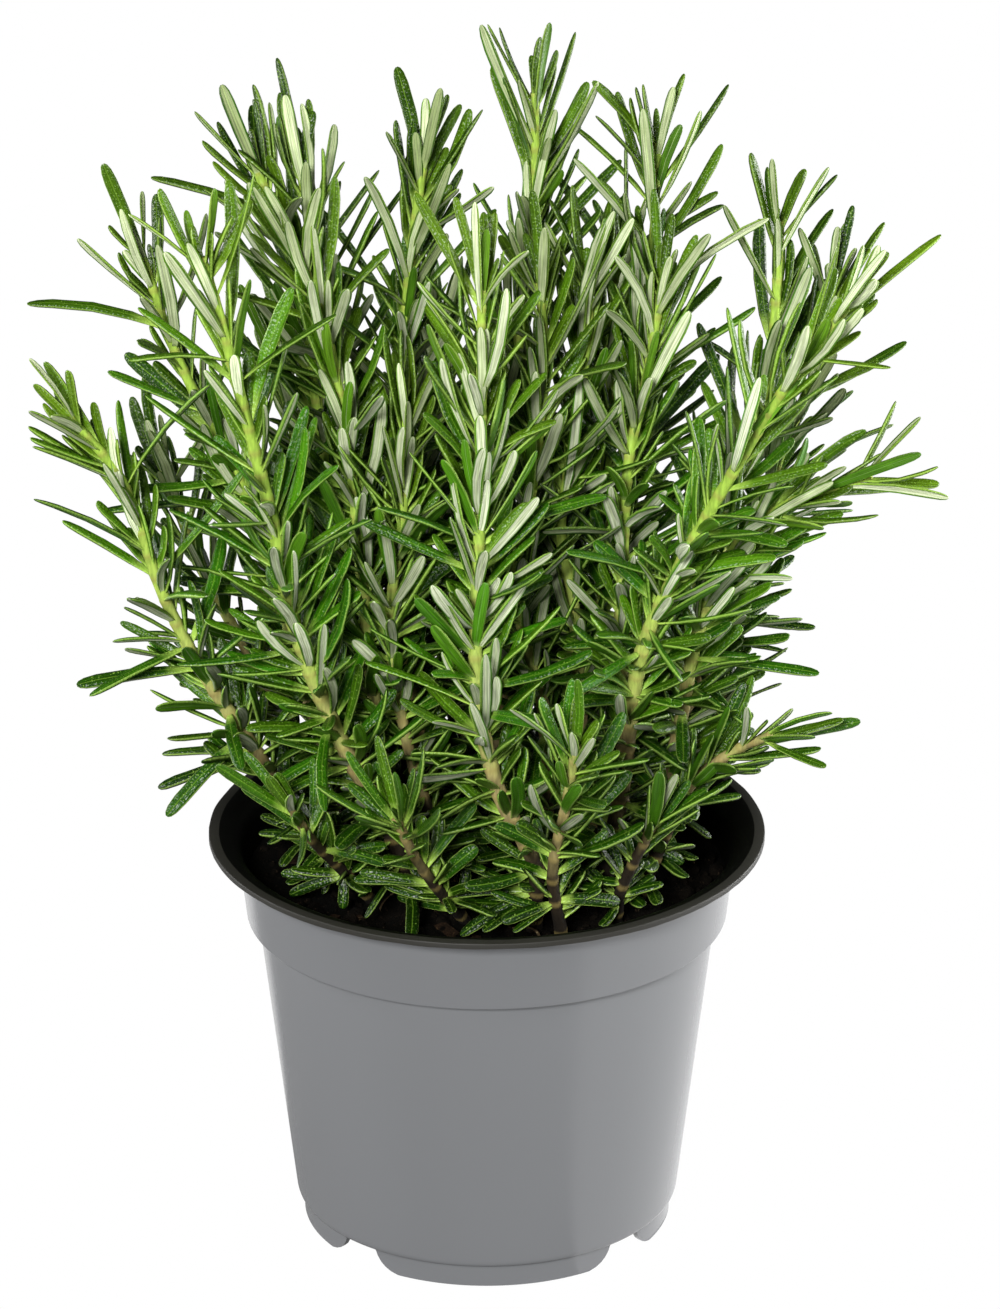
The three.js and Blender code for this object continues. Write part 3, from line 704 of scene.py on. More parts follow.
class Room:
    """What is in place already, as straight stretches of stems, which have a radius, and of leaves."""

    def __init__(self):
        self.count = 0  # the stretches in place, of the room for the most
        self.start = np.zeros((MOST_STRETCHES, 3))
        self.run = np.zeros((MOST_STRETCHES, 3))
        self.owner = np.zeros(MOST_STRETCHES, int)
        self.radius = np.zeros(MOST_STRETCHES)

    def fill(self, owner, start, end, radius):
        self.start[self.count] = start
        self.run[self.count] = end - start
        self.owner[self.count] = owner
        self.radius[self.count] = radius
        self.count += 1

    def is_clear(self, leaf, space):
        starts, runs = self.start[: self.count], self.run[: self.count]
        radius = self.radius[: self.count]
        owned = self.owner[: self.count] == leaf.stem.index
        need = np.where(radius > 0, radius + space["stem"], space["leaf"])
        need = np.where(owned, space["own"], need)
        for start, end in leaf.stretches():
            apart = np.linalg.norm(starts - start, axis=1)
            near = (apart <= FAR_APART) & ~(owned & (radius > 0))
            if (gaps(start, end - start, starts[near], runs[near]) < need[near]).any():
                return False
        return True


def gaps(start, run, starts, runs):
    """The least distance between one straight stretch and each of many."""
    r = start - starts
    a, b, c = run @ run, runs @ run, r @ run
    e, f = (runs * runs).sum(1), (runs * r).sum(1)
    square = a * e - b * b
    s = np.where(square > 1e-9, np.clip((b * f - c * e) / np.maximum(square, 1e-9), 0, 1), 0)
    t = (b * s + f) / e
    s = np.where(t < 0, np.clip(-c / a, 0, 1), np.where(t > 1, np.clip((b - c) / a, 0, 1), s))
    t = np.clip(t, 0, 1)
    return np.linalg.norm(r + run * s[:, None] - runs * t[:, None], axis=1)


room = Room()
for stem in stems:
    count = math.ceil(stem.length / STRAIGHT_STRETCH)
    for i in range(count):
        room.fill(stem.index, stem.point(i / count), stem.point((i + 1) / count), stem.radius_at(i / count))
leaves = {stem.name: [] for stem in stems}


def grow(stem, share, wish, changes, space):
    """Adds the wished leaf with the first change that keeps it clear of all that is in place."""
    direction = stem.direction(share)
    directions = (direction, *stem.sides(direction))
    root = stem.point(share)
    wish["lit"] = space["lit"]
    for change in changes:
        leaf = Leaf(stem, root, directions, wish, change)
        if leaf.stays_in_place(space["lowest"]) and room.is_clear(leaf, space):
            leaves[stem.name].append(leaf)
            for start, end in leaf.stretches():
                room.fill(stem.index, start, end, 0)
            return


def youth_at(stem, share):
    """How young the growth is, from 0 at the woody foot to 1 at a tip in the light."""
    light = np.clip((stem.route[-2][2] - LIGHT_FROM) / (FULL_LIGHT - LIGHT_FROM), 0.25, 1)
    return min(max((share - YOUNG_FROM) / (1 - YOUNG_FROM), 0), 1) ** 1.5 * light


def pair_wish(random, stem, share, turn, side):
    """What one leaf of a pair is like, if it has room: from its place on the stem, with some chance."""
    return {
        "turn": turn + 180 * side + 24 * (random() - 0.5),
        "angle": table_value(LEAF_ANGLE, share) + 40 * (random() - 0.5),
        "length": table_value(LEAF_LENGTH, share) * stem.vigour * (0.72 + 0.42 * random()),
        "curl": 0.44 * (random() - 0.4),
        "droop": 0.16 * (1 - share) * random(),
        "roll": math.radians(64 * (random() - 0.5)),
        "width": table_value(LEAF_WIDTH, share) * (0.9 + 0.2 * random()),
        "youth": youth_at(stem, share),
        "open": 1,
    }


def tip_wish(random, stem, number, count):
    """What one of the young, upright leaves at a tip is like, if it has room."""
    return {
        "turn": 360 / count * number + 20 * (random() - 0.5),
        "angle": 8 + 18 * random(),
        "length": 12 + 12 * random(),
        "curl": 0.06,
        "droop": 0,
        "roll": 0,
        "width": 2.1,
        "youth": youth_at(stem, 1),
        "open": 0.8,
    }


for k in range(max(len(stem.pairs) for stem in stems)):
    for stem in stems:
        if k < len(stem.pairs):
            for side in (0, 1):
                random = random_from(PAIR_SEED * stem.index + 10 * k + side)
                share, turn = stem.pairs[k]
                grow(stem, share, pair_wish(random, stem, share, turn, side), CHANGES, SOLID_SPACE)
for stem in stems:
    random = random_from(TIP_SEED + stem.index)
    for number in range(TIP_LEAVES):
        share = 1 - (2 + 0.8 * (number % 2)) / stem.length
        grow(stem, share, tip_wish(random, stem, number, TIP_LEAVES), CHANGES[:9], SOLID_SPACE)

# The second pass: the pairs between, the tufts in the axils, then more at the feet and the tips. The
# leaves of a tuft are narrower, shorter and younger than the pair that they grow beside, and steeper.
BETWEEN_SEED, TUFT_SEED, FOOT_SEED, MORE_TIPS_SEED = 20000, 60000, 80000, 95000
FOOT_LEAVES = 14
FOOT_ZONE = (1.5, 12)  # mm up the stem where they start, and over how much of it they spread
MORE_TIP_LEAVES = 6
TUFT_LEAVES = [(100, 3), (130, 4), (150, 4), (190, 3), (230, 2)]  # on one side of a joint, by its height
TUFT_FAN = 34  # degrees round the stem between a tuft's leaves
OUTER_RADIUS = 58  # where the plant is airy, and its tufts are thinner
OUTER_THINNING = 0.5
FEWER_CHANGES = CHANGES[:10]


def is_outer(spot):
    return math.hypot(spot[0], spot[1]) > OUTER_RADIUS


for stem in stems:
    between = [((a + b) / 2, turn + 45) for (a, turn), (b, _) in zip(stem.pairs, stem.pairs[1:])]
    between.append(((stem.pairs[-1][0] + 1) / 2, stem.pairs[-1][1] + 45))
    stem.nodes = sorted(stem.pairs + between)
    for k, (share, turn) in enumerate(between):
        for side in (0, 1):
            random = random_from(BETWEEN_SEED + PAIR_SEED * stem.index + 10 * k + side)
            if is_outer(stem.point(share)) and random() < OUTER_THINNING:
                continue
            grow(stem, share, pair_wish(random, stem, share, turn, side), CHANGES, REAL_SPACE)
for stem in stems:
    for k, (share, turn) in enumerate(stem.nodes):
        spot = stem.point(share)
        count = round(table_value(TUFT_LEAVES, spot[2]) * (OUTER_THINNING if is_outer(spot) else 1))
        for side in (0, 1):
            for number in range(count):
                random = random_from(TUFT_SEED + PAIR_SEED * stem.index + 20 * k + 10 * side + number)
                wish = pair_wish(random, stem, share, turn + TUFT_FAN * (number % 4 - 0.5), side)
                wish["angle"] *= 0.35 + 0.05 * count + 0.3 * random()
                wish["length"] *= 0.4 + 0.05 * count + 0.4 * random()
                wish["width"] *= 0.9
                wish["youth"] = min(1, wish["youth"] + 0.15 + 0.35 * random())
                wish["open"] = 0.75
                grow(stem, share + 1.2 / stem.length, wish, FEWER_CHANGES, REAL_SPACE)
for stem in stems:
    random = random_from(FOOT_SEED + stem.index)
    for number in range(FOOT_LEAVES):
        wish = pair_wish(random, stem, 0, 360 * random(), 0)
        wish["length"] *= 0.9 + 0.7 * random()
        wish["width"] *= 0.85
        grow(stem, (FOOT_ZONE[0] + FOOT_ZONE[1] * random()) / stem.length, wish, FEWER_CHANGES, REAL_SPACE)
for stem in stems:
    random = random_from(MORE_TIPS_SEED + stem.index)
    for number in range(MORE_TIP_LEAVES):
        wish = tip_wish(random, stem, number + 0.5, MORE_TIP_LEAVES)
        wish["length"] *= 0.75
        grow(stem, 1 - (0.8 + 3 * random()) / stem.length, wish, FEWER_CHANGES, REAL_SPACE)

# --------------------------------------------------------------------------------- the stems' surfaces
# One length of stem, from one pair of leaves to the next, is modelled once: a square bar with blunt
# corners that swells at both ends, where the leaves join. Copies are set end to end along each line.
BARK_SIDES = 12
SQUARENESS = 3  # the power in the stem's section: 2 would be round
CORNER_REACH = 1.12  # how far a corner is from the middle, for a section of that power
SWELLS = [(0, 1.05), (0.05, 1.07), (0.14, 1), (0.5, 0.96), (0.86, 0.98), (0.95, 1.02), (1, 1.05)]
STEM_FOOT = 9  # mm of stem below the first point of its line
STEM_END = 0.6
STOUTER = 1.12  # the real stems are a little thicker than the solids
WOODY_BELOW = 104  # heights between which the bark turns from brown wood to green
GREEN_ABOVE = 200
BARK_PATCH = 9
BARK_PATCH_SHIFT = 34  # mm that a patch is older or younger than its height
FIBRE_WIDTH = 0.7
FIBRE_STRETCH = 0.22
JOINT_RING = (0.3, 1.1)  # mm from a joint between which its ring fades out


def drawn_out(name, section, rings):
    """A bar drawn out along Y: the section is a list of (x, z), and each ring is (place, size)."""
    bpy.ops.object.select_all(action="DESELECT")
    bpy.ops.mesh.primitive_circle_add(vertices=len(section), radius=0.5, rotation=(math.pi / 2, 0, 0))
    bar = bpy.context.object
    bar.name = name
    bpy.ops.object.transform_apply(location=False, rotation=True, scale=False)
    for vertex, (x, z) in zip(bar.data.vertices, section):
        vertex.co = (x * rings[0][1], rings[0][0], z * rings[0][1])
    bpy.ops.object.mode_set(mode="EDIT")
    bpy.ops.mesh.select_all(action="SELECT")
    for (here, size), (there, next_size) in zip(rings, rings[1:]):
        bpy.ops.mesh.extrude_region_move(TRANSFORM_OT_translate={"value": (0, there - here, 0)})
        change = next_size / size
        bpy.ops.transform.resize(value=(change, 1, change), center_override=(0, there, 0))
    bpy.ops.object.mode_set(mode="OBJECT")
    return bar


def close_ends(bar):
    only(bar)
    bpy.ops.object.mode_set(mode="EDIT")
    bpy.ops.mesh.select_all(action="SELECT")
    bpy.ops.mesh.fill_holes(sides=0)
    bpy.ops.mesh.select_all(action="SELECT")
    bpy.ops.mesh.normals_make_consistent(inside=False)
    bpy.ops.object.mode_set(mode="OBJECT")


def blunt_square(sides):
    corners = []
    for i in range(sides):
        angle = 2 * math.pi * (i + 0.5) / sides
        c, s = math.cos(angle), math.sin(angle)
        size = (abs(c) ** SQUARENESS + abs(s) ** SQUARENESS) ** (-1 / SQUARENESS) / CORNER_REACH
        corners.append((size * c, size * s))
    return corners


internode = drawn_out("internode", blunt_square(BARK_SIDES), SWELLS)
internode_shape = np.array([v.co for v in internode.data.vertices])
internode_faces = [tuple(face.vertices) for face in internode.data.polygons]
internode_rings = [(t, np.flatnonzero(np.abs(internode_shape[:, 1] - t) < 1e-4)) for t, _ in SWELLS]
bpy.data.objects.remove(internode)


def bark_of(stem):
    """The bare stem as an object: its internodes, set end to end and merged. Each corner knows how far
    it is from a joint, in mm."""
    nodes = [share for share, _ in stem.nodes]
    joints = [-STEM_FOOT / stem.length, 0, *nodes, 1 + STEM_END / stem.length]
    points, faces, nearness = [], [], []
    for start, end in zip(joints, joints[1:]):
        laid = np.zeros_like(internode_shape)
        near = np.zeros(len(laid))
        for t, ring in internode_rings:
            share = start + (end - start) * t
            inside = min(max(share, 0), 1)
            direction = stem.direction(inside)
            side, back = stem.sides(direction)
            middle = stem.point(inside) + direction * (share - inside) * stem.length
            x, z = internode_shape[ring][:, [0, 2]].T[:, :, None] * stem.radius_at(inside) * STOUTER
            laid[ring] = middle + side * x + back * z
            near[ring] = min(t, 1 - t) * (end - start) * stem.length
        first = len(points) * len(laid)
        faces += [tuple(first + i for i in face) for face in internode_faces]
        points.append(laid * MM)
        nearness.append(near)
    mesh = bpy.data.meshes.new("bark_" + stem.name)
    mesh.from_pydata(np.vstack(points).tolist(), [], faces)
    from_joint = mesh.attributes.new("from_joint", "FLOAT", "POINT")
    from_joint.data.foreach_set("value", np.concatenate(nearness))
    bark = bpy.data.objects.new(mesh.name, mesh)
    bpy.context.scene.collection.objects.link(bark)
    only(bark)
    bpy.ops.object.mode_set(mode="EDIT")
    bpy.ops.mesh.select_all(action="SELECT")
    bpy.ops.mesh.remove_doubles(threshold=0.01 * MM)
    bpy.ops.object.mode_set(mode="OBJECT")
    close_ends(bark)
    return bark


def stem_bark():
    """Rosemary stem: green and slightly waxy where it is young, then straw-coloured, and brown, cracked
    bark above the soil. Old leaf joints leave a ring round it."""
    material, shader = new_material("Rosemary_stem_bark")
    place = add_node(material, "TexCoord", {}, "Object")
    height = add_node(material, "SeparateXYZ", {"Vector": place}, "Z")
    patches = add_node(material, "TexNoise", {"Vector": place, "Scale": 1 / (BARK_PATCH * MM), "Detail": 3})
    shift = {0: patches, 1: BARK_PATCH_SHIFT * MM, 2: height}
    shifted = add_node(material, "Math", shift, operation="MULTIPLY_ADD")
    age = add_node(material, "MapRange", {
        "Value": shifted, "From Min": WOODY_BELOW * MM, "From Max": GREEN_ABOVE * MM,
    })
    ramp = add_node(material, "ValToRGB", {"Fac": age})
    stops = ((0, "#0c0804"), (0.2, "#211a0f"), (0.42, "#857a4e"), (0.62, "#8f9c4c"), (1, "#88a53e"))
    for position, colour in stops[1:-1]:
        ramp.node.color_ramp.elements.new(position)
    for element, (position, colour) in zip(ramp.node.color_ramp.elements, stops):
        element.position = position
        element.color = linear(colour)
    streaks = add_node(material, "Mapping", {"Vector": place, "Scale": (1, 1, FIBRE_STRETCH)})
    fibres = add_node(material, "TexNoise", {
        "Vector": streaks, "Scale": 1 / (FIBRE_WIDTH * MM), "Detail": 3,
    })
    dark = add_node(material, "MapRange", {
        "Value": fibres, "From Min": 0.3, "From Max": 0.7, "To Min": 0.66, "To Max": 1.15,
    })
    tone = add_node(material, "MixRGB", {"Fac": 1, "Color1": ramp, "Color2": dark}, blend_type="MULTIPLY")
    joint = add_node(material, "Attribute", {}, "Fac", attribute_name="from_joint")
    ring = add_node(material, "MapRange", {
        "Value": joint, "From Min": JOINT_RING[0], "From Max": JOINT_RING[1], "To Min": 0.35, "To Max": 0,
    })
    ringed = add_node(material, "MixRGB", {"Fac": ring, "Color1": tone, "Color2": linear("#8a7a45")})
    woody = add_node(material, "MapRange", {"Value": age, "From Max": 0.45, "To Min": 1, "To Max": 0.15})
    relief = add_node(material, "Bump", {"Height": fibres, "Strength": woody, "Distance": 0.5 * MM})
    rough = add_node(material, "MapRange", {"Value": age, "To Min": 0.85, "To Max": 0.5})
    set_inputs(material, shader, {
        "Base Color": ringed, "Normal": relief, "Roughness": rough, "Specular IOR Level": 0.15,
    })
    return material


bark_material = stem_bark()

# --------------------------------------------------------------------------------- the leaves' surfaces
# A rosemary leaf is a narrow, leathery blade with parallel sides and its margins rolled under. It is
# green and glossy above, with a sunken midline, and white-felted below, with a raised midrib.
LEAF_SECTION = [
    (0, 0.07), (-0.24, 0.16), (-0.45, 0.03), (-0.4, -0.17), (-0.28, -0.08), (0, -0.13),
    (0.28, -0.08), (0.4, -0.17), (0.45, 0.03), (0.24, 0.16),
]
LEAF_RINGS = [
    (0.015, 0.42), (0.11, 0.54), (0.28, 0.86), (0.56, 1), (0.83, 1), (0.93, 0.83), (0.98, 0.55), (1, 0.22),
]
FULLER = 1.3  # the real blades are wider than the plain ones of the solids
MARGIN = 0.4  # how far from the midline the rolled margins start, as a share of the width
SWAY, RISE, TWIST = 0.36, 0.24, 1.3  # how much a leaf's line and blade differ from its plain ones
BLADE_SEED = 300
# Painted shade: leaves low down, and leaves deep inside below the tips, are darkened where the foliage
# above shades them.
LOW_SHADE = ((100, 170), (0.85, 0))  # heights, and how much painted shade a leaf gets there
INNER_SHADE = ((5, 48), (0.5, 0))  # distances from the pot's axis
INNER_SHADE_TOP = ((190, 245), (1, 0))
PAINTED_LIGHT_EDGE, PAINTED_LIGHT_DEPTH = 20, 60  # the Y in front of which a leaf's tone gets painted light, and over how much of it
LEAF_CLOUD = 5
PEBBLE_SIZE = 0.6  # the skin's own cells are finer, and would not show
HAIR_SIZE = 0.5
SKIN_RELIEF = 0.3
FELTED_SHARE = [(110, 0.4), (155, 0.95)]  # at a height, how many leaves show their felt
UPPER, UNDER = 1, 2  # a stem's material slots, after its bark

blade = drawn_out("leaf_blade", LEAF_SECTION, LEAF_RINGS)
close_ends(blade)
ring_places, ring_sizes = zip(*LEAF_RINGS)
blade_shape = np.array([v.co for v in blade.data.vertices])
blade_loops = np.array([loop.vertex_index for loop in blade.data.loops])
blade_totals = np.array([face.loop_total for face in blade.data.polygons])
blade_widths = np.interp(blade_shape[:, 1], ring_places, ring_sizes)
blade_uv = np.column_stack([blade_shape[:, 0] / blade_widths + 0.5, blade_shape[:, 1]])[blade_loops]


def is_below(face):
    """Whether a face of the blade is of its underside, inside the edges of its margins."""
    across = abs(face.center.x) / np.interp(face.center.y, ring_places, ring_sizes)
    return face.normal.z < 0 and across < MARGIN


blade_materials = np.array([UNDER if is_below(face) else UPPER for face in blade.data.polygons])
bpy.data.objects.remove(blade)


def bent_blade(leaf, random):
    """The blade's corners laid along a leaf's line, with a slight twist and sway of its own."""
    x, t, z = blade_shape.T[:, :, None]
    sway, rise = SWAY * (random() - 0.5), RISE * (random() - 0.5)
    twist = TWIST * (random() - 0.5) * t
    aside = np.cross(leaf.face, leaf.along)
    arch = leaf.arch + aside * sway + leaf.face * rise
    tangent = unit(leaf.along + 2 * t * arch)
    side = unit(np.cross(leaf.face, tangent))
    face = np.cross(tangent, side)
    side, face = side * np.cos(twist) + face * np.sin(twist), face * np.cos(twist) - side * np.sin(twist)
    middle = leaf.root + (leaf.along * t + arch * t * t) * leaf.length
    width = leaf.width * FULLER * (0.76 + 0.34 * random())
    return (middle + side * x * width + face * z * width) * MM


def shade_at(spot):
    """How much painted shade darkens a leaf: low down, or deep inside below the tips, where the foliage
    above shades it.
    """
    low = np.interp(spot[2], *LOW_SHADE)
    inner = np.interp(math.hypot(spot[0], spot[1]), *INNER_SHADE) * np.interp(spot[2], *INNER_SHADE_TOP)
    return max(low, inner)


def leaves_of(stem):
    """All the leaves of a stem as one object, with what each leaf's colours come from: its youth, its
    tone, its painted shade, and how open its margins are, so that the felt below shows. A leaf has
    either open margins or nearly closed ones. Its tone is partly random and partly painted light: those
    nearer to the front are painted lighter."""
    random = random_from(BLADE_SEED + stem.index)
    blades, youths, tones_with_front_light, shades, openings = [], [], [], [], []
    for leaf in leaves[stem.name]:
        blades.append(bent_blade(leaf, random))
        youths.append(min(max(leaf.youth + 0.3 * (random() - 0.5), 0), 1))
        # Painted light: a leaf nearer to the front gets a lighter tone, as if more lit; the rest of its
        # tone is random.
        near = min(max((PAINTED_LIGHT_EDGE - leaf.root[1]) / PAINTED_LIGHT_DEPTH, -0.6), 1)
        tones_with_front_light.append(0.65 * random() + 0.5 * near)
        shades.append(shade_at(leaf.point(0.6)))
        felted = leaf.open * table_value(FELTED_SHARE, leaf.root[2])
        openings.append(0.82 + 0.18 * random() if random() < felted else 0.12 * random())
    number = len(blades)
    starts = np.arange(number)[:, None] * len(blade_shape)
    totals = np.tile(blade_totals, number)
    mesh = bpy.data.meshes.new("leaves_" + stem.name)
    mesh.vertices.add(number * len(blade_shape))
    mesh.vertices.foreach_set("co", np.array(blades).ravel())
    mesh.loops.add(number * len(blade_loops))
    mesh.loops.foreach_set("vertex_index", (starts + blade_loops).ravel())
    mesh.polygons.add(len(totals))
    mesh.polygons.foreach_set("loop_start", np.concatenate([[0], np.cumsum(totals)[:-1]]))
    mesh.polygons.foreach_set("loop_total", totals)
    mesh.update(calc_edges=True)
    mesh.polygons.foreach_set("material_index", np.tile(blade_materials, number))
    mesh.uv_layers.new(name="UVMap").data.foreach_set("uv", np.tile(blade_uv, (number, 1)).ravel())
    for name, values in (("youth", youths), ("tone", tones_with_front_light), ("shade", shades), ("open", openings)):
        layer = mesh.attributes.new(name, "FLOAT", "POINT")
        layer.data.foreach_set("value", np.repeat(values, len(blade_shape)))
    made = bpy.data.objects.new(mesh.name, mesh)
    bpy.context.scene.collection.objects.link(made)
    return made


def leaf_tones(material, old, young):
    """A leaf's colour from its youth, tone and painted shade, with cloudy patches along it. The tone is
    partly painted light, lighter towards the front. Old and young growth have a dark and a light colour
    each."""
    youth = add_node(material, "Attribute", {}, "Fac", attribute_name="youth")
    tone = add_node(material, "Attribute", {}, "Fac", attribute_name="tone")
    place = add_node(material, "TexCoord", {}, "Object")
    clouds = add_node(material, "TexNoise", {"Vector": place, "Scale": 1 / (LEAF_CLOUD * MM), "Detail": 2})
    spread = add_node(material, "Math", {0: clouds, 1: 0.5, 2: tone}, operation="MULTIPLY_ADD")
    light = add_node(material, "MapRange", {"Value": spread, "From Min": 0.25, "From Max": 1.25})
    toned = [
        add_node(material, "MixRGB", {"Fac": light, "Color1": linear(dark), "Color2": linear(pale)})
        for dark, pale in (old, young)
    ]
    aged = add_node(material, "MixRGB", {"Fac": youth, "Color1": toned[0], "Color2": toned[1]})
    shade = add_node(material, "Attribute", {}, "Fac", attribute_name="shade")
    # Painted shade: the colour is mixed towards near black by the leaf's shade attribute.
    shaded = add_node(material, "MixRGB", {"Fac": shade, "Color1": aged, "Color2": linear("#061200")})
    return shaded, place


def across_and_along(material):
    """The place on a blade: how far from its midline, from 0 to 0.5, and how far along it."""
    uv = add_node(material, "UVMap", {}, uv_map="UVMap")
    parts = add_node(material, "SeparateXYZ", {"Vector": uv}).node.outputs
    centred = add_node(material, "Math", {0: parts["X"], 1: 0.5}, operation="SUBTRACT")
    across = add_node(material, "Math", {0: centred}, operation="ABSOLUTE")
    return across, parts["Y"]


def fine_lines(material, darkest, lightest):
    """The veins, as a factor for a colour: fine lines along each blade, other ones on each leaf."""
    uv = add_node(material, "UVMap", {}, uv_map="UVMap")
    tone = add_node(material, "Attribute", {}, "Fac", attribute_name="tone")
    own = add_node(material, "CombineXYZ", {"Z": tone})
    moved = add_node(material, "VectorMath", {0: uv, 1: own}, operation="ADD")
    drawn = add_node(material, "Mapping", {"Vector": moved, "Scale": (13, 2.5, 40)})
    lines = add_node(material, "TexNoise", {"Vector": drawn, "Scale": 1, "Detail": 2})
    return add_node(material, "MapRange", {
        "Value": lines, "From Min": 0.33, "From Max": 0.67, "To Min": darkest, "To Max": lightest,
    })


def leaf_upper():
    """The waxy upper skin: glossy, pebbled where the cells bulge between the veins, with painted glints
    on the pebbles, a pale line along each margin and a pale base."""
    material, shader = new_material("Rosemary_leaf_upper_skin")
    green, place = leaf_tones(material, ("#0a2101", "#2e6604"), ("#1a3303", "#4e6b0c"))
    veins = {"Fac": 1, "Color1": green, "Color2": fine_lines(material, 0.6, 1.35)}
    veined = add_node(material, "MixRGB", veins, blend_type="MULTIPLY")
    cells = {"Vector": place, "Scale": 1 / (PEBBLE_SIZE * MM)}
    pebbles = add_node(material, "TexVoronoi", cells, feature="SMOOTH_F1")
    # Painted glints: the colour is lightened at the middle of each pebble, a painted highlight.
    glints = add_node(material, "MapRange", {
        "Value": pebbles, "From Min": 0.08, "From Max": 0.24, "To Min": 0.55, "To Max": 0,
    })
    glinted = add_node(material, "MixRGB", {"Fac": glints, "Color1": veined, "Color2": linear("#86a845")})
    across, along = across_and_along(material)
    tone = add_node(material, "Attribute", {}, "Fac", attribute_name="tone")
    bright = add_node(material, "MapRange", {"Value": tone, "To Min": 0.3, "To Max": 0.95})
    margin = add_node(material, "MapRange", {
        "Value": across, "From Min": MARGIN, "From Max": 0.48, "To Max": bright,
    })
    edged = add_node(material, "MixRGB", {"Fac": margin, "Color1": glinted, "Color2": linear("#a3c25c")})
    base = add_node(material, "MapRange", {
        "Value": along, "From Min": 0.06, "From Max": 0.3, "To Min": 0.85, "To Max": 0,
    })
    based = add_node(material, "MixRGB", {"Fac": base, "Color1": edged, "Color2": linear("#9cba50")})
    middle = add_node(material, "MapRange", {
        "Value": across, "From Min": 0.015, "From Max": 0.05, "To Min": 0.3, "To Max": 0,
    })
    lined = add_node(material, "MixRGB", {"Fac": middle, "Color1": based, "Color2": linear("#78a030")})
    bumps = {"Height": pebbles, "Strength": 0.85, "Distance": SKIN_RELIEF * MM}
    relief = add_node(material, "Bump", bumps, invert=True)
    set_inputs(material, shader, {
        "Base Color": lined, "Normal": relief, "Roughness": 0.34, "Specular IOR Level": 0.2,
    })
    return material


def leaf_under():
    """The underside: matt and nearly white from its dense hairs, between margins as green as the upper
    skin. The more open a leaf is, the more of the felt shows. It parts along a green midrib."""
    material, shader = new_material("Rosemary_leaf_felted_underside")
    felt, place = leaf_tones(material, ("#747f59", "#ced6b8"), ("#808e5c", "#d2dcb2"))
    green, _ = leaf_tones(material, ("#1f4804", "#468012"), ("#2b5006", "#5e881b"))
    across, along = across_and_along(material)
    rib = add_node(material, "MapRange", {
        "Value": across, "From Min": 0.02, "From Max": 0.06, "To Min": 0.4, "To Max": 0,
    })
    ribbed = add_node(material, "MixRGB", {"Fac": rib, "Color1": felt, "Color2": linear("#7d9350")})
    opening = add_node(material, "Attribute", {}, "Fac", attribute_name="open")
    edge = add_node(material, "MapRange", {"Value": opening, "To Min": -0.03, "To Max": 0.345})
    rolled = add_node(material, "Math", {0: across, 1: edge}, operation="SUBTRACT")
    margin = add_node(material, "MapRange", {"Value": rolled, "From Min": -0.02, "From Max": 0.03})
    margined = add_node(material, "MixRGB", {"Fac": margin, "Color1": ribbed, "Color2": green})
    veins = {"Fac": 1, "Color1": margined, "Color2": fine_lines(material, 0.5, 1.18)}
    combed = add_node(material, "MixRGB", veins, blend_type="MULTIPLY")
    base = add_node(material, "MapRange", {
        "Value": along, "From Min": 0.05, "From Max": 0.2, "To Min": 0.6, "To Max": 0,
    })
    based = add_node(material, "MixRGB", {"Fac": base, "Color1": combed, "Color2": linear("#b0c476")})
    hairs = add_node(material, "TexNoise", {"Vector": place, "Scale": 1 / (HAIR_SIZE * MM), "Detail": 3})
    relief = add_node(material, "Bump", {"Height": hairs, "Strength": 0.4, "Distance": SKIN_RELIEF * MM})
    gloss = add_node(material, "MapRange", {"Value": margin, "To Min": 0.8, "To Max": 0.4})
    set_inputs(material, shader, {
        "Base Color": based, "Normal": relief, "Roughness": gloss, "Specular IOR Level": 0.2,
    })
    return material


leaf_materials = (leaf_upper(), leaf_under())
for stem in stems:
    bark = bark_of(stem)
    foliage = leaves_of(stem)
    for material in (bark_material, *leaf_materials):
        bark.data.materials.append(material)
        foliage.data.materials.append(material)
    only(foliage)
    bark.select_set(True)
    bpy.context.view_layer.objects.active = bark
    bpy.ops.object.join()
    bark.name = bark.data.name = "rosemary_" + stem.name
    bpy.ops.object.shade_smooth()
    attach(bark, "root")
    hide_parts("stem_" + stem.name)

# ----------------------------------------------------------------------------------------- the studio
# A pale table in a white room. A large soft light stands high in front, another at the right, and a
# narrow one on each side a little behind, which with a bright paper give the pot its bright edges.
WHITE = (1, 1, 1, 1)
ROOM_LIGHT = 0.07

bpy.ops.object.select_all(action="DESELECT")
bpy.ops.mesh.primitive_plane_add(size=6)
floor = bpy.context.object
floor.name = "studio_floor"
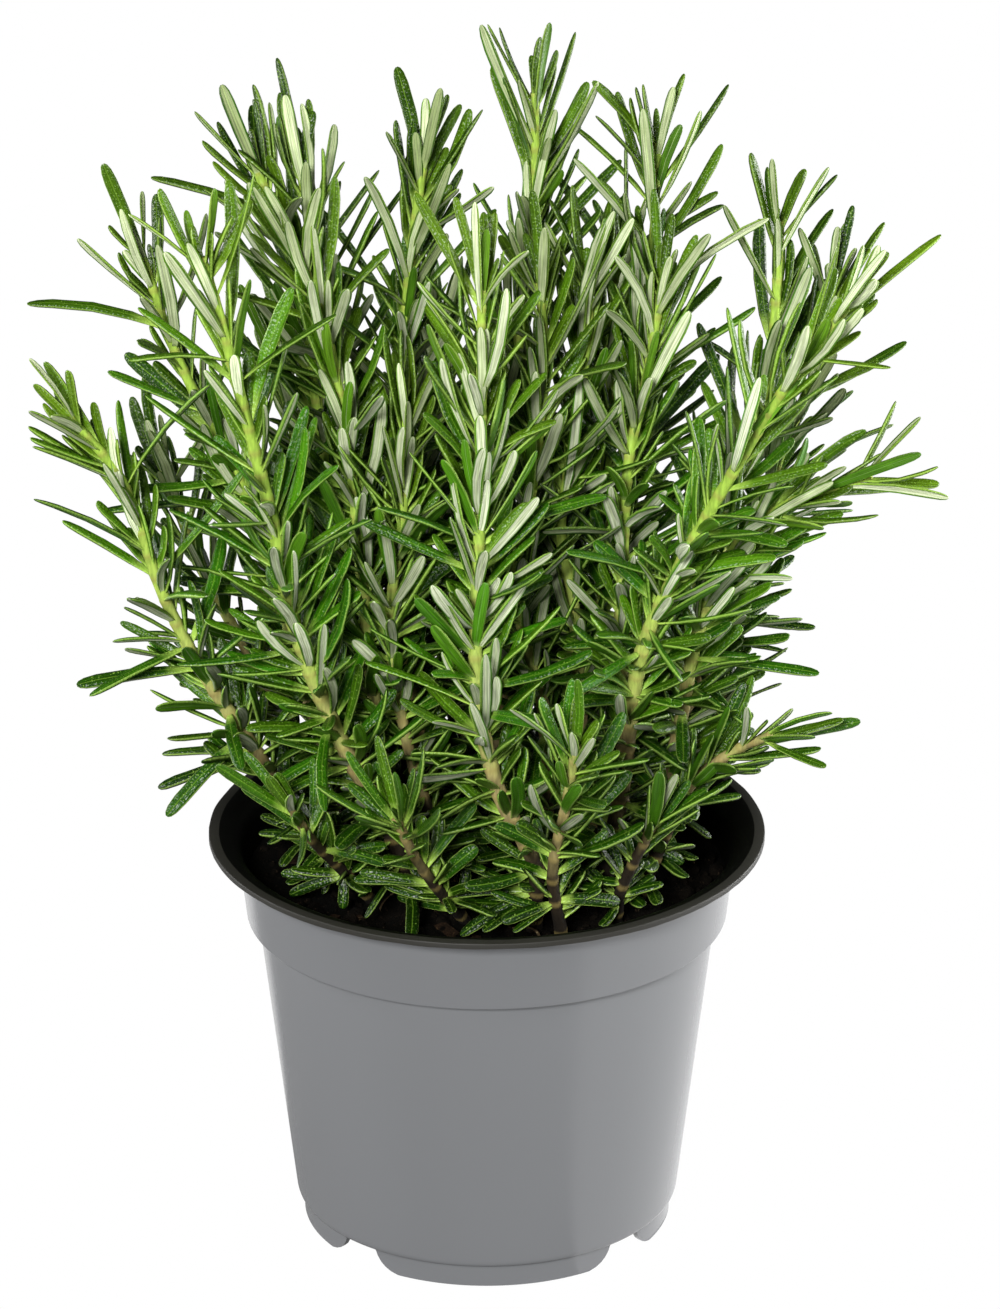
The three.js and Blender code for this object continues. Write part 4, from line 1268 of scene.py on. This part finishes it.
# Paper that looks white to the camera and lights the plant from below as a grey one.
floor_material, floor_shader = new_material("Matt_white_paper")
set_inputs(floor_material, floor_shader, {"Base Color": linear("#848484"), "Roughness": 0.9})
seen = add_node(floor_material, "LightPath", {}, "Is Camera Ray")
glow = add_node(floor_material, "Emission", {"Strength": 1})
paper = add_node(floor_material, "MixShader", {0: seen, 1: floor_shader.outputs["BSDF"], 2: glow})
set_inputs(floor_material, floor_material.node_tree.nodes["Material Output"], {"Surface": paper})
floor.data.materials.append(floor_material)

# The bright paper beside and behind the pot, which only the pot's sides mirror, at a low angle.
bpy.ops.mesh.primitive_plane_add(size=0.9, location=(0.31, 0.31, 0.0004), rotation=(0, 0, math.pi / 4))
mirrored = bpy.context.object
mirrored.name = "studio_mirrored_paper"
mirrored_material, mirrored_shader = new_material("Sunlit_white_paper")
set_inputs(mirrored_material, mirrored_shader, {
    "Base Color": (0, 0, 0, 1), "Emission Color": WHITE, "Emission Strength": 1.3, "Roughness": 1,
})
mirrored.data.materials.append(mirrored_material)
mirrored.visible_camera = mirrored.visible_diffuse = mirrored.visible_shadow = False

# The room is dim as a light, so that the leaves keep their shadows, and white as a backdrop.
world = bpy.data.worlds.new("white_room")
world.use_nodes = True
room_light = world.node_tree.nodes["Background"]
set_inputs(world, room_light, {"Color": WHITE, "Strength": ROOM_LIGHT})
seen = add_node(world, "LightPath", {}, "Is Camera Ray")
backdrop = add_node(world, "Background", {"Color": WHITE, "Strength": 1})
both = add_node(world, "MixShader", {0: seen, 1: room_light.outputs["Background"], 2: backdrop})
set_inputs(world, world.node_tree.nodes["World Output"], {"Surface": both})
bpy.context.scene.world = world
bpy.context.scene.view_settings.view_transform = "Standard"


def soft_light(name, place, aim, size, power):
    """A softbox of one width and height at place, that faces the point aim."""
    facing = (Vector(aim) - Vector(place)).to_track_quat("-Z", "Y").to_euler()
    bpy.ops.object.light_add(type="AREA", location=place, rotation=facing)
    light = bpy.context.object
    light.name = name
    light.data.shape = "RECTANGLE"
    light.data.size, light.data.size_y = size
    light.data.energy = power


soft_light("key_softbox", (-0.6, -2.65, 1.5), (0, 0, 0.15), (0.7, 0.7), 186)
soft_light("right_softbox", (0.9, -0.1, 0.35), (0, 0, 0.08), (0.5, 0.9), 12)
soft_light("edge_strip", (0.55, 0.3, 0.1), (0, 0, 0.06), (0.25, 0.5), 7)
soft_light("left_strip", (-0.8, 0.2, 0.3), (0, 0, 0.1), (0.2, 0.5), 7)
